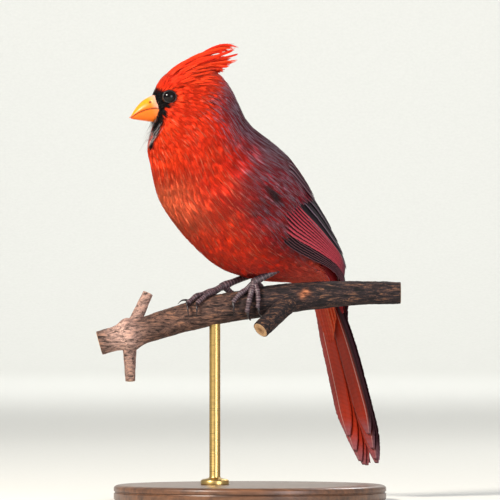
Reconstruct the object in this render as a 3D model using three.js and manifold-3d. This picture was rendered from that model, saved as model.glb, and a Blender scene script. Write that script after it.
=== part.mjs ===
// A male northern cardinal, life size, gripping a short cut length of branch on a plain display stand.
// Millimetres, +Z up. The origin is the middle of the base's underside. The bird looks towards -X,
// its body is turned a little towards -Y, and the branch runs along X above the base.
import * as THREE from "three";
import { mergeVertices } from "three/addons/utils/BufferGeometryUtils.js";
import Module from "manifold-3d";

const wasm = await Module();
wasm.setup();

// Driving sizes
const GAP = 0.3; // between two pieces that touch
const BODY_YAW = 35; // degrees that the body is turned from -X towards -Y
const HEAD_YAW = 15; // the same for the head, which looks back along the branch
const FEET = new THREE.Vector3(-4, 0, 0); // point of the branch that the bird stands over
const EYE_RADIUS = 3.4;
const TAIL_LENGTH = 98;
const BRANCH_HALF = 68.5; // half the length of the perch
const BASE_RADIUS = 62;
const BASE_HEIGHT = 7;
const ROD_RADIUS = 2.5;
const ROD_X = -16;

const radians = (degrees) => (degrees * Math.PI) / 180;
const mix = (a, b, t) => a + (b - a) * t;
const clamp01 = (t) => Math.min(1, Math.max(0, t));
const ease = (t) => clamp01(t) ** 2 * (3 - 2 * clamp01(t));

// A smooth value through a list of evenly numbered ones, at a place between them.
function through(values, place) {
  const last = values.length - 1;
  const i = Math.min(last - 1, Math.max(0, Math.floor(place)));
  const t = place - i;
  const [b, c] = [values[i], values[i + 1]];
  const a = values[i - 1] ?? 2 * b - c;
  const d = values[i + 2] ?? 2 * c - b;
  return b + 0.5 * t * (c - a + t * (2 * a - 5 * b + 4 * c - d + t * (3 * (b - c) + d - a)));
}

// The trunk of the bird from face to tail, one line for each place along the spine.
// forward and height place the section's middle in the bird's own mid plane, lean is the angle by which
// the section's top leans back, and up, down and side are its reach from there.
const SECTIONS = [
  { at: "face", forward: 46.8, height: 178.4, lean: 0, up: 4.6, down: 4.8, side: 4.0 },
  { at: "bill base", forward: 45.3, height: 179.0, lean: 3, up: 8.4, down: 7.6, side: 7.0 },
  { at: "lores", forward: 43.5, height: 180.2, lean: 8, up: 12.0, down: 11.6, side: 9.6 },
  { at: "eye", forward: 41.0, height: 180.6, lean: 17, up: 15.4, down: 16.2, side: 11.5 },
  { at: "ear", forward: 38.3, height: 180.0, lean: 27, up: 18.8, down: 20.0, side: 13.0 },
  { at: "crown", forward: 35.1, height: 177.8, lean: 34, up: 22.0, down: 23.2, side: 15.0 },
  { at: "nape", forward: 31.5, height: 173.7, lean: 40, up: 24.8, down: 24.8, side: 17.6 },
  { at: "throat", forward: 27.6, height: 167.9, lean: 43, up: 25.6, down: 25.6, side: 20.4 },
  { at: "collar", forward: 23.4, height: 160.0, lean: 43, up: 26.2, down: 27.6, side: 22.6 },
  { at: "shoulder", forward: 18.1, height: 151.5, lean: 43, up: 25.4, down: 28.6, side: 23.8 },
  { at: "breast", forward: 3.3, height: 138.0, lean: 43, up: 25.6, down: 30.0, side: 24.6 },
  { at: "belly", forward: -11.8, height: 124.7, lean: 43, up: 23.0, down: 27.6, side: 23.0 },
  { at: "vent", forward: -29.0, height: 113.3, lean: 47, up: 16.0, down: 20.0, side: 17.4 },
  { at: "rump", forward: -41.6, height: 104.7, lean: 57, up: 9.6, down: 11.8, side: 12.4 },
  { at: "tail root", forward: -48.0, height: 93.5, lean: 69, up: 5.0, down: 5.6, side: 9.4 },
  { at: "tail coverts", forward: -52.6, height: 78.5, lean: 73, up: 3.4, down: 3.4, side: 8.6 },
];
const sectionAt = (name) => SECTIONS.findIndex((section) => section.at === name);
const column = (key) => SECTIONS.map((section) => section[key]);
const SPINE = Object.fromEntries(
  ["forward", "height", "lean", "up", "down", "side"].map((key) => [key, column(key)]),
);

// The spine turns sideways between throat and eye, because the head looks further round than the body.
const TURN_LENGTH = sectionAt("throat") - sectionAt("eye");
const yawAt = (place) =>
  radians(mix(HEAD_YAW, BODY_YAW, ease((place - sectionAt("eye")) / TURN_LENGTH)));

// Where the spine runs on the plan, found by walking forward from the shoulder in short steps.
const WALK_STEPS = 20; // to each section
function planAt(place) {
  const from = sectionAt("shoulder");
  const start = through(SPINE.forward, from);
  const plan = new THREE.Vector2(
    FEET.x - start * Math.cos(radians(BODY_YAW)),
    FEET.y - start * Math.sin(radians(BODY_YAW)),
  );
  const steps = Math.max(1, Math.ceil(Math.abs(place - from) * WALK_STEPS));
  for (let i = 0; i < steps; i++) {
    const [a, b] = [mix(from, place, i / steps), mix(from, place, (i + 1) / steps)];
    const walked = through(SPINE.forward, b) - through(SPINE.forward, a);
    const yaw = yawAt((a + b) / 2);
    plan.x -= walked * Math.cos(yaw);
    plan.y -= walked * Math.sin(yaw);
  }
  return plan;
}

// The middle of a section with its directions: forward, left, and the leaning way up.
function sectionFrame(place) {
  const yaw = yawAt(place);
  const lean = radians(through(SPINE.lean, place));
  const plan = planAt(place);
  const ahead = new THREE.Vector3(-Math.cos(yaw), -Math.sin(yaw), 0);
  return {
    middle: new THREE.Vector3(plan.x, plan.y, through(SPINE.height, place)),
    ahead,
    left: new THREE.Vector3(Math.sin(yaw), -Math.cos(yaw), 0),
    up: ahead.clone().multiplyScalar(-Math.sin(lean)).setZ(Math.cos(lean)),
  };
}

// A point of the trunk's surface, or of a skin at some height over it. The angle runs from the back, 0,
// over the left side, 90, to the belly, 180.
function trunkPoint(place, angle, over = 0, frame = sectionFrame(place)) {
  const [cosine, sine] = [Math.cos(radians(angle)), Math.sin(radians(angle))];
  const reach = through(cosine > 0 ? SPINE.up : SPINE.down, place) + over;
  const side = through(SPINE.side, place) + over;
  return frame.middle.clone()
    .addScaledVector(frame.up, reach * cosine)
    .addScaledVector(frame.left, side * sine);
}

// Closed meshes

// A geometry of shared points and triangles, turned to face outwards.
function closedGeometry(points, triangles) {
  let volume = 0;
  const cross = new THREE.Vector3();
  for (const [a, b, c] of triangles) volume += points[a].dot(cross.crossVectors(points[b], points[c]));
  const faces = volume < 0 ? triangles.map(([a, b, c]) => [a, c, b]) : triangles;
  const geometry = new THREE.BufferGeometry().setFromPoints(points);
  geometry.setIndex(faces.flat());
  return geometry;
}

// A closed skin through rings of equally many points, with a fan over each end.
function loft(rings) {
  const count = rings[0].length;
  const points = rings.flat();
  const triangles = [];
  for (let i = 0; i + 1 < rings.length; i++)
    for (let j = 0; j < count; j++) {
      const [a, b] = [i * count + j, i * count + ((j + 1) % count)];
      triangles.push([a, b, b + count], [a, b + count, a + count]);
    }
  for (const [ring, start] of [[rings[0], 0], [rings.at(-1), (rings.length - 1) * count]]) {
    const middle = ring.reduce((sum, p) => sum.add(p), new THREE.Vector3()).divideScalar(count);
    points.push(middle);
    for (let j = 0; j < count; j++) {
      const edge = [start + j, start + ((j + 1) % count), points.length - 1];
      triangles.push(start === 0 ? [edge[1], edge[0], edge[2]] : edge);
    }
  }
  return closedGeometry(points, triangles);
}

// A plate between two like grids of points, whose triangles lie alike on both faces.
function plate(top, bottom) {
  const [rows, columns] = [top.length, top[0].length];
  const points = [...top.flat(), ...bottom.flat()];
  const under = rows * columns;
  const triangles = [];
  for (let i = 0; i + 1 < rows; i++)
    for (let j = 0; j + 1 < columns; j++) {
      const a = i * columns + j;
      const [b, c, d] = [a + 1, a + columns + 1, a + columns];
      triangles.push([a, b, c], [a, c, d]);
      triangles.push([under + a, under + c, under + b], [under + a, under + d, under + c]);
    }
  const rim = [];
  for (let j = 0; j < columns - 1; j++) rim.push(j);
  for (let i = 0; i < rows - 1; i++) rim.push(i * columns + columns - 1);
  for (let j = columns - 1; j > 0; j--) rim.push((rows - 1) * columns + j);
  for (let i = rows - 1; i > 0; i--) rim.push(i * columns);
  rim.forEach((a, k) => {
    const b = rim[(k + 1) % rim.length];
    triangles.push([b, a, under + a], [b, under + a, under + b]);
  });
  return closedGeometry(points, triangles);
}

// A tube along a route, as rings across it. radiusAt gives each step's radius.
function tube(route, radiusAt, sides) {
  const reference = new THREE.Vector3(0.31, 0.87, 0.38).normalize();
  const rings = route.map((point, i) => {
    const along = route[Math.min(i + 1, route.length - 1)].clone().sub(route[Math.max(i - 1, 0)]).normalize();
    const across = reference.clone().cross(along).normalize();
    const other = along.clone().cross(across);
    const radius = radiusAt(i / (route.length - 1));
    return Array.from({ length: sides }, (_, j) => {
      const turn = (2 * Math.PI * j) / sides;
      return point.clone()
        .addScaledVector(across, radius * Math.cos(turn))
        .addScaledVector(other, radius * Math.sin(turn));
    });
  });
  return loft(rings);
}

// Solids

// A closed solid from a geometry whose shared points are merged.
function solid(geometry) {
  const bare = geometry.clone();
  bare.deleteAttribute("normal");
  bare.deleteAttribute("uv");
  const merged = mergeVertices(bare, 1e-4);
  const index = merged.index.array;
  const faces = [];
  for (let i = 0; i < index.length; i += 3) {
    const [a, b, c] = [index[i], index[i + 1], index[i + 2]];
    if (a !== b && b !== c && a !== c) faces.push(a, b, c);
  }
  return new wasm.Manifold(
    new wasm.Mesh({
      numProp: 3,
      vertProperties: new Float32Array(merged.attributes.position.array),
      triVerts: new Uint32Array(faces),
    }),
  );
}

// One body of several geometries. A scrap or sealed hollow that joining leaves is dropped.
const largest = (body) => body.decompose().sort((a, b) => b.volume() - a.volume())[0];
const solidOf = (geometries) => wasm.Manifold.union(geometries.map(solid));
const fuse = (geometries) => largest(solidOf(geometries));

function piece(name, body, material) {
  const { numProp, numVert, vertProperties, triVerts } = body.getMesh();
  const positions = new Float32Array(numVert * 3);
  for (let i = 0; i < numVert; i++) {
    positions.set(vertProperties.subarray(i * numProp, i * numProp + 3), i * 3);
  }
  const geometry = new THREE.BufferGeometry();
  geometry.setAttribute("position", new THREE.BufferAttribute(positions, 3));
  geometry.setIndex(new THREE.BufferAttribute(new Uint32Array(triVerts), 1));
  geometry.computeVertexNormals();
  const mesh = new THREE.Mesh(geometry, material);
  mesh.name = name;
  return mesh;
}

const finish = (colour, roughness, metalness = 0) =>
  new THREE.MeshStandardMaterial({ color: colour, roughness, metalness });
const MATERIALS = {
  red: finish(0xd02a14, 0.85),
  dusky: finish(0x6e2028, 0.85),
  tail: finish(0xa8281c, 0.8),
  bill: finish(0xf07818, 0.4),
  eye: finish(0x0a0706, 0.05),
  leg: finish(0x3a2a2c, 0.6),
  bark: finish(0x4a3026, 0.9),
  base: finish(0x5a3a24, 0.5),
  rod: finish(0x9a8a60, 0.35, 1),
};

// Head, neck and torso: one skin, parted by thin cuts

const TRUNK_SIDES = 24;
function trunkLength(from, to, rings, over = 0) {
  return loft(
    Array.from({ length: rings + 1 }, (_, i) => {
      const place = mix(from, to, i / rings);
      const frame = sectionFrame(place);
      return Array.from({ length: TRUNK_SIDES }, (_, j) =>
        trunkPoint(place, (360 * j) / TRUNK_SIDES, over, frame),
      );
    }),
  );
}
// How far along the numbered sections the gap reaches, at a place.
function gapShare(place) {
  const [a, b] = [sectionFrame(place).middle, sectionFrame(place + 0.1).middle];
  return (0.1 * GAP) / a.distanceTo(b);
}
const HEAD_END = 5.5;
const NECK_END = 8.2;
const TORSO_END = 13;

// A vane: a thin blade whose rows of points come from edgeAt(along, side), with side running from -1 to 1
// across the blade. It is thickness deep along faceAt(along) and thins over its last third.
function vane(steps, edgeAt, faceAt, thickness, sides = [-1, 0, 1]) {
  const rows = Array.from({ length: steps + 1 }, (_, i) => i / steps);
  const top = rows.map((along) => sides.map((side) => edgeAt(along, side)));
  const bottom = rows.map((along, i) => {
    const deep = thickness * (1 - 0.45 * ease((along - 0.65) / 0.35));
    return top[i].map((point) => point.clone().addScaledVector(faceAt(along), -deep));
  });
  return plate(top, bottom);
}

const LAYER = 0.8; // from one feather's face to the next one's

// The share of a blade's full width at a place along it: a narrow root, parallel edges, a round tip.
const bladeWidth = (along, root = 0.45, tip = 0.4) =>
  along < 0.5 ? mix(root, 1, ease(along / 0.4)) : mix(1, tip, clamp01((along - 0.8) / 0.2) ** 1.7);

// Crest: narrow blades on edge from the forehead to the back of the crown, in layers side by side.
// A row says where its feathers end, as forward of the eye and over it. Neighbours lie in different layers.
const CREST_TIPS = [
  [-12, 17.0], [-19.5, 20.4], [-26.5, 23.0], [-33.4, 25.0],
  [-34.6, 22.0], [-34, 19.2], [-30.6, 17.0], [-27.6, 14.4],
];
const CREST_LAYERS = [
  { aside: 0.45, spread: 0.3, rows: [1, 3, 5, 7] },
  { aside: -0.45, spread: -0.3, rows: [0, 2, 4, 6] },
  { aside: 1.7, spread: 1.4, rows: [0, 2, 4] },
  { aside: -1.7, spread: -1.4, rows: [0, 2, 4] },
];
const CREST_WIDTH = 3.4;
function crestBlade(row, { aside, spread }) {
  const frame = sectionFrame(sectionAt("eye"));
  const share = row / (CREST_TIPS.length - 1);
  const place = mix(2.2, 5.2, share);
  const sink = mix(-2.4, -1.6, share);
  const [ahead, high] = CREST_TIPS[row];
  const inward = 1 - 0.07 * Math.abs(aside);
  const root = trunkPoint(place, 0, sink).addScaledVector(frame.left, aside);
  const lifted = trunkPoint(place + mix(1.3, 0.6, share), 0, 2.8);
  lifted.addScaledVector(frame.left, aside + 0.5 * spread);
  const tip = frame.middle.clone()
    .addScaledVector(frame.ahead, ahead * inward)
    .addScaledVector(frame.left, aside + spread)
    .add(new THREE.Vector3(0, 0, high * inward));
  const curve = new THREE.QuadraticBezierCurve3(root, lifted, tip);
  const edge = (along, across) => {
    const wide = frame.left.clone().cross(curve.getTangent(along)).normalize();
    const half = 0.5 * CREST_WIDTH * bladeWidth(along, 0.8, 0.2);
    return curve.getPoint(along).addScaledVector(wide, across * half);
  };
  return vane(4, edge, () => frame.left, 0.6, [-1, 1]);
}
const crest = () => CREST_LAYERS.flatMap((layer) => layer.rows.map((row) => crestBlade(row, layer)));

// Eyes: a ball in its socket, with a ring of lid standing round it
function eyeFrame(side) {
  const frame = sectionFrame(sectionAt("eye"));
  const out = frame.left.clone().multiplyScalar(side).addScaledVector(frame.ahead, 0.16);
  out.setZ(0.06).normalize();
  const centre = frame.middle.clone()
    .addScaledVector(frame.left, side * 8.7)
    .addScaledVector(frame.ahead, 0.1);
  centre.z += 2.2;
  return { centre, out };
}
function eyeBall(side, radius, segments) {
  const { centre, out } = eyeFrame(side);
  const ball = new THREE.SphereGeometry(radius, segments, segments - 4);
  ball.applyQuaternion(new THREE.Quaternion().setFromUnitVectors(new THREE.Vector3(0, 1, 0), out));
  return ball.translate(centre.x, centre.y, centre.z);
}
function eyeLid(side) {
  const { centre, out } = eyeFrame(side);
  const lid = new THREE.TorusGeometry(3.0, 0.85, 5, 16);
  lid.scale(1.06, 0.98, 1);
  lid.applyQuaternion(new THREE.Quaternion().setFromUnitVectors(new THREE.Vector3(0, 0, 1), out));
  const seat = centre.clone().addScaledVector(out, 2.0);
  return lid.translate(seat.x, seat.y, seat.z);
}

// Bill: two stout cones whose meeting line rises from the tip and drops sharply to the gape
const BILL_PITCH = 19.6; // degrees that the bill points down
function billFrame() {
  const frame = sectionFrame(sectionAt("bill base"));
  const [c, s] = [Math.cos(radians(BILL_PITCH)), Math.sin(radians(BILL_PITCH))];
  const origin = frame.middle.clone();
  origin.z -= 1.3;
  return {
    origin,
    forward: frame.ahead.clone().multiplyScalar(c).setZ(-s),
    up: frame.ahead.clone().multiplyScalar(s).setZ(c),
    left: frame.left,
  };
}
const BILL_REACH = 12.9;
const BILL_TOP = 6.1;
const BILL_BOTTOM = 6.7;
const culmen = (f) => BILL_TOP * (1 - clamp01(f / BILL_REACH) ** 2.1) - 0.35 * clamp01(f / BILL_REACH);
const gonys = (f) => -BILL_BOTTOM * (1 - clamp01((f + 0.2) / BILL_REACH)) ** 0.97 - 0.35;
const mouthLine = (f) =>
  f < 0.6
    ? mix(0.35, -3.7, clamp01((0.6 - f) / 2.9))
    : 0.35 + 0.95 * Math.sin(Math.PI * clamp01((f - 0.6) / (BILL_REACH - 0.6)) ** 0.9) -
      0.5 * clamp01((f - 0.6) / (BILL_REACH - 0.6)) ** 3;
const BILL_RINGS = 8;
const BILL_SIDES = 12;
function billHalf(upper) {
  const { origin, forward, up, left } = billFrame();
  const place = (f, across, high) =>
    origin.clone().addScaledVector(forward, f).addScaledVector(left, across).addScaledVector(up, high);
  const rings = [];
  for (let i = 0; i <= BILL_RINGS; i++) {
    const f = mix(-2.3, upper ? BILL_REACH : BILL_REACH - 0.7, (i / BILL_RINGS) ** 0.85);
    const line = mouthLine(f) + (upper ? 0.75 : -0.75) * GAP;
    const edge = upper ? Math.max(culmen(f), line + 0.35) : Math.min(gonys(f), line - 0.35);
    const half = 0.4 + (upper ? 4.9 : 5.3) * (1 - clamp01(f / BILL_REACH) ** 1.25) ** 0.9;
    const ring = [];
    for (let j = 0; j < BILL_SIDES; j++) {
      const turn = (2 * Math.PI * j) / BILL_SIDES;
      const high = Math.sin(turn);
      const across = half * Math.cos(turn) * (high > 0 ? 1 - 0.12 * high : 1);
      ring.push(place(f, across, high > 0 ? line + (edge - line) * high ** 0.9 : line));
    }
    // the flat mouth side keeps only its two corners and middle
    rings.push(ring.filter((_, j) => j <= BILL_SIDES / 2 || j === Math.round(0.75 * BILL_SIDES)));
  }
  return loft(rings);
}
function nostril(side) {
  const { origin, forward, up, left } = billFrame();
  const pit = new THREE.SphereGeometry(0.62, 10, 6);
  pit.scale(1.3, 1, 1);
  const seat = origin.clone()
    .addScaledVector(forward, 2.3)
    .addScaledVector(left, side * 3.7)
    .addScaledVector(up, 4.0);
  return pit.translate(seat.x, seat.y, seat.z);
}

// Wings: a curved core over each shoulder with the coverts and flight feathers rooted in it.
// A place on a wing is its distance behind the wrist along the spine and its angle round the trunk.
const WRIST = 9.0;
const WING_SAMPLES = 120;
const spineLengths = [0];
const spinePlaces = [WRIST];
for (let i = 1; i <= WING_SAMPLES; i++) {
  const place = mix(WRIST, SECTIONS.length - 1, i / WING_SAMPLES);
  const step = sectionFrame(place).middle.distanceTo(sectionFrame(spinePlaces.at(-1)).middle);
  spineLengths.push(spineLengths.at(-1) + step);
  spinePlaces.push(place);
}
function placeBehindWrist(distance) {
  const i = Math.max(1, spineLengths.findIndex((length) => length > distance));
  const t = (distance - spineLengths[i - 1]) / (spineLengths[i] - spineLengths[i - 1]);
  return mix(spinePlaces[i - 1], spinePlaces[i], t);
}
// A place on the wing, over the trunk, for the left side, +1, or the right, -1.
function wingPoint(side, distance, angle, over) {
  return trunkPoint(placeBehindWrist(distance), side * angle, over);
}

// A feather of the folded wing, from root to tip through a bend, each [distance, angle].
// lift is its height over the trunk and slope the height that it gains across its width.
const skinRadius = (distance) => {
  const place = placeBehindWrist(distance);
  return 0.5 * (through(SPINE.side, place) + through(SPINE.up, place)) + 2;
};
function wingFeather(side, { root, bend, tip, width, lift, slope, steps }) {
  const route = (along, k) =>
    (1 - along) ** 2 * root[k] + 2 * along * (1 - along) * bend[k] + along ** 2 * tip[k];
  const edge = (along, across) => {
    const distance = route(along, 0);
    const half = 0.5 * width * bladeWidth(along, 0.5, 0.45);
    const angle = route(along, 1) + across * THREE.MathUtils.radToDeg(half / skinRadius(distance));
    return wingPoint(side, distance, angle, mix(...lift, ease(along / 0.45)) + slope * across * half);
  };
  const face = (along) => {
    const [distance, angle] = [route(along, 0), route(along, 1)];
    return wingPoint(side, distance, angle, 2).sub(wingPoint(side, distance, angle, 0)).normalize();
  };
  return vane(steps, edge, face, 0.5, [-1, 1]);
}

// A row of count feathers whose settings run evenly between those of the first and the last.
function featherRow(side, count, first, last) {
  const between = (a, b, t) => (Array.isArray(a) ? a.map((x, k) => between(x, b[k], t)) : mix(a, b, t));
  const spread = count === 1 ? 0 : radians(first.bend[1] - last.bend[1]) * skinRadius(first.bend[0]);
  const apart = count === 1 ? 6 : spread / (count - 1);
  return Array.from({ length: count }, (_, i) => {
    const t = count === 1 ? 0 : i / (count - 1);
    const keys = Object.keys(first);
    const settings = keys.map((key) => [key, between(first[key], last[key] ?? first[key], t)]);
    return wingFeather(side, { ...Object.fromEntries(settings), slope: Math.min(0.4, LAYER / apart) });
  });
}

// Each tier goes from the lower edge of the wing to its upper edge. Within a tier each feather's upper edge
// lies under the next one, so its tilt follows from how close the feathers stand.
const TIERS = [
  { count: 4, // primaries
    first: { root: [24, 105], bend: [58, 119], tip: [85, 72], width: 6.6, lift: [1.7, 2.5], steps: 5 },
    last: { root: [26, 100], bend: [58, 104], tip: [94, 52], lift: [1.7, 2.7] } },
  { count: 4, // secondaries
    first: { root: [24, 96], bend: [50, 98], tip: [80, 60], width: 8.8, lift: [1.8, 2.8], steps: 4 },
    last: { root: [28, 68], bend: [50, 66], tip: [75, 40], lift: [1.8, 3.1] } },
  { count: 3, // tertials
    first: { root: [32, 60], bend: [50, 56], tip: [76, 36], width: 9.6, lift: [1.9, 3.6], steps: 4 },
    last: { root: [32, 38], bend: [48, 33], tip: [63, 24], lift: [2.0, 3.8] } },
  { count: 4, // greater coverts
    first: { root: [18, 99], bend: [27, 101], tip: [37, 99], width: 9.6, lift: [1.9, 4.2], steps: 3 },
    last: { root: [24, 54], bend: [34, 52], tip: [45, 50], lift: [2.0, 4.6] } },
  { count: 4, // median coverts
    first: { root: [9, 98], bend: [17, 99], tip: [26, 98], width: 10, lift: [1.8, 4.6], steps: 3 },
    last: { root: [14, 52], bend: [23, 50], tip: [33, 48], lift: [2.0, 4.8] } },
  { count: 3, // lesser coverts
    first: { root: [2, 94], bend: [8, 95], tip: [15, 95], width: 11, lift: [1.4, 4.6], steps: 3 },
    last: { root: [4, 50], bend: [11, 49], tip: [20, 47], lift: [1.4, 4.8] } },
  { count: 2, // primary coverts
    first: { root: [22, 106], bend: [30, 111], tip: [38, 113], width: 4.6, lift: [1.6, 2.9], steps: 3 },
    last: { root: [22, 101], bend: [30, 105], tip: [41, 105], lift: [1.7, 3.3] } },
  { count: 1, // alula
    first: { root: [15, 103], bend: [23, 106], tip: [32, 108], width: 4.8, lift: [1.8, 4.2], steps: 3 },
    last: {} },
  { count: 2, // long scapulars
    first: { root: [10, 42], bend: [25, 41], tip: [40, 37], width: 9.4, lift: [1.6, 5.0], steps: 3 },
    last: { root: [8, 24], bend: [18, 22], tip: [31, 20], lift: [1.6, 4.8] } },
  { count: 2, // short scapulars
    first: { root: [0, 40], bend: [9, 40], tip: [20, 38], width: 9.4, lift: [1.0, 4.8], steps: 3 },
    last: { root: [0, 24], bend: [7, 21], tip: [15, 20], lift: [1.0, 4.6] } },
];
function wing(side) {
  const feathers = TIERS.flatMap(({ count, first, last }) => featherRow(side, count, first, last));
  return largest(solidOf([wingCore(side), ...feathers]).subtract(trunkClear));
}

// The core lies on the trunk, thickest along the forearm and thin at its rim.
const CORE_ROWS = 7;
const CORE_COLUMNS = 6;
const CORE_LIFT = 2.0;
function wingCore(side) {
  const grid = (over) =>
    Array.from({ length: CORE_ROWS + 1 }, (_, i) =>
      Array.from({ length: CORE_COLUMNS + 1 }, (_, j) => {
        const [t, u] = [i / CORE_ROWS, j / CORE_COLUMNS];
        const distance = mix(-4, 40, t);
        const rounding = 12 * (2 * t - 1) ** 4;
        const angle = mix(106 - rounding, 16 + rounding, u);
        return wingPoint(side, distance, angle, over(t, u));
      }),
    );
  const arch = (t, rim) => Math.sin(Math.PI * mix(rim, 1 - rim, t));
  const bulge = (t, u) => (arch(t, 0.06) * arch(u, 0.08)) ** 0.6;
  return plate(grid((t, u) => GAP + 0.75 + CORE_LIFT * bulge(t, u)), grid(() => GAP + 0.15));
}

// Tail: six feathers a side, the middle pair on top, the outer pair lowest and shortest
const TAIL_PITCH = 72.8; // degrees that the tail hangs below level
function tailFrame() {
  const yaw = radians(BODY_YAW);
  const ahead = new THREE.Vector3(-Math.cos(yaw), -Math.sin(yaw), 0);
  const [c, s] = [Math.cos(radians(TAIL_PITCH)), Math.sin(radians(TAIL_PITCH))];
  return {
    root: FEET.clone().addScaledVector(ahead, -43.6).setZ(108.0),
    along: ahead.clone().multiplyScalar(-c).setZ(-s),
    out: ahead.clone().multiplyScalar(-s).setZ(c),
    left: new THREE.Vector3(Math.sin(yaw), -Math.cos(yaw), 0),
  };
}
// Each pair's length as a share of the tail's, from the middle pair outwards.
const TAIL_SHARES = [0.99, 1.0, 0.995, 0.975, 0.92, 0.845];
const TAIL_FEATHER_HALF = 6.4;
const TAIL_START = 14;
function tailFeather(side, pair) {
  const { root, along, out, left } = tailFrame();
  const length = TAIL_LENGTH * TAIL_SHARES[pair] - (side < 0 ? 0 : 1.2);
  const [asideRoot, asideTip] = [1.6 + 0.6 * pair, 3.2 + 1.0 * pair];
  const height = pair === 0 ? 1.9 + (side > 0 ? LAYER : 0) : 1.9 - LAYER * pair;
  const edge = (t, across) => {
    const aside = mix(asideRoot, asideTip, t);
    const half = TAIL_FEATHER_HALF * bladeWidth(t, 0.62, 0.45);
    const inner = Math.min(half, pair === 0 ? mix(half, 1.2, ease((t - 0.75) / 0.25)) : aside - 0.2);
    return root.clone()
      .addScaledVector(along, mix(TAIL_START, length, t))
      .addScaledVector(left, side * (aside + across * (across < 0 ? inner : half)))
      .addScaledVector(out, height + 0.6 * Math.sin(Math.PI * t) + (across === 0 ? 0.15 : 0));
  };
  return vane(5, edge, () => out, 0.5);
}
// Coverts over and under the tail's root.
function tailCovert(over, aside, length, layer) {
  const { root, along, out, left } = tailFrame();
  const edge = (t, across) =>
    root.clone()
      .addScaledVector(along, mix(7, length, t))
      .addScaledVector(left, aside * mix(0.7, 1, t) + across * 3.8 * bladeWidth(t, 0.7, 0.3))
      .addScaledVector(out, over * (mix(over > 0 ? 3.9 : 3.6, over > 0 ? 3.7 : 3.3, t) + LAYER * layer));
  return vane(3, edge, () => out.clone().multiplyScalar(over), 0.5, [-1, 1]);
}
const TAIL_COVERTS = [[-5.4, 27, 0], [5.4, 27, 0], [-2.2, 33, 1], [2.2, 33, 1]];
const TAIL_CORE_END = 14.6;
function tail() {
  const core = trunkLength(TORSO_END + gapShare(TORSO_END), TAIL_CORE_END, 4);
  const vanes = [];
  for (const side of [-1, 1]) for (let pair = 0; pair < 6; pair++) vanes.push(tailFeather(side, pair));
  for (const [aside, length, layer] of TAIL_COVERTS)
    for (const over of [-1, 1]) vanes.push(tailCovert(over, aside, length + (over > 0 ? 0 : 4), layer));
  return fuse([core, ...vanes]);
}

// Branch: a cut length with a ringed joint, two cut twigs there and a cut side branch
const BRANCH_HEIGHTS = [71.4, 76.2, 81.6, 86.2, 89.2, 91.8, 93.4, 94.2, 94.2];
const BRANCH_RADII = [5.6, 6.1, 6.6, 7.0, 7.1, 7.0, 6.3, 5.6, 5.2];
const JOINT_X = -55;
const branchShare = (x) => ((x + BRANCH_HALF) / (2 * BRANCH_HALF)) * (BRANCH_HEIGHTS.length - 1);
const branchHeight = (x) => through(BRANCH_HEIGHTS, branchShare(x));
const jointSwelling = (x) => 2.0 * Math.exp(-(((x - JOINT_X) / 3.6) ** 2));
const branchRadius = (x) => through(BRANCH_RADII, branchShare(x)) + jointSwelling(x);
// A point over the bark. The angle runs from the top, 0, to the side that faces -Y, 90.
function branchPoint(x, angle, over = 0) {
  const slope = (branchHeight(x + 0.5) - branchHeight(x - 0.5)) / 1;
  const up = new THREE.Vector3(-slope, 0, 1).normalize();
  const reach = branchRadius(x) + over;
  return new THREE.Vector3(x, 0, branchHeight(x))
    .addScaledVector(up, reach * Math.cos(radians(angle)))
    .add(new THREE.Vector3(0, -reach * Math.sin(radians(angle)), 0));
}
const BRANCH_RINGS = 22;
const BRANCH_SIDES = 12;
// Long low ridges of bark, at most this high, which stay under the toes' level.
const BARK_DEPTH = 0.45;
function bark(x, angle) {
  const turn = radians(angle);
  const ridge = Math.sin(0.21 * x + 3 * Math.sin(2 * turn)) * Math.cos(5 * turn + 0.13 * x);
  return -BARK_DEPTH * (0.5 + 0.5 * ridge);
}
function branchLength(over, rough) {
  return loft(
    Array.from({ length: BRANCH_RINGS + 1 }, (_, i) => {
      const x = mix(-BRANCH_HALF, BRANCH_HALF, i / BRANCH_RINGS);
      return Array.from({ length: BRANCH_SIDES }, (_, j) => {
        const angle = (360 * j) / BRANCH_SIDES;
        return branchPoint(x, angle, over + (rough ? bark(x, angle) : 0));
      });
    }),
  );
}
function twig(from, to, thick, thin, sides = 8) {
  const route = Array.from({ length: 4 }, (_, i) => from.clone().lerp(to, i / 3));
  return tube(route, (t) => mix(thick, thin, t) + 0.5 * Math.exp(-((t / 0.3) ** 2)), sides);
}
function perch() {
  const joint = new THREE.Vector3(JOINT_X, 0, branchHeight(JOINT_X));
  return fuse([
    branchLength(0, true),
    twig(joint, joint.clone().add(new THREE.Vector3(8.6, 1.5, 19)), 3.2, 2.3),
    twig(joint, joint.clone().add(new THREE.Vector3(0.6, -2, -21)), 3.4, 2.2),
    twig(new THREE.Vector3(20, -1, 92.5), new THREE.Vector3(4.8, -13, 77.5), 4.6, 4.0, 10),
  ]);
}

// Legs and feet
const TOE_SIDES = 6;
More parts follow.
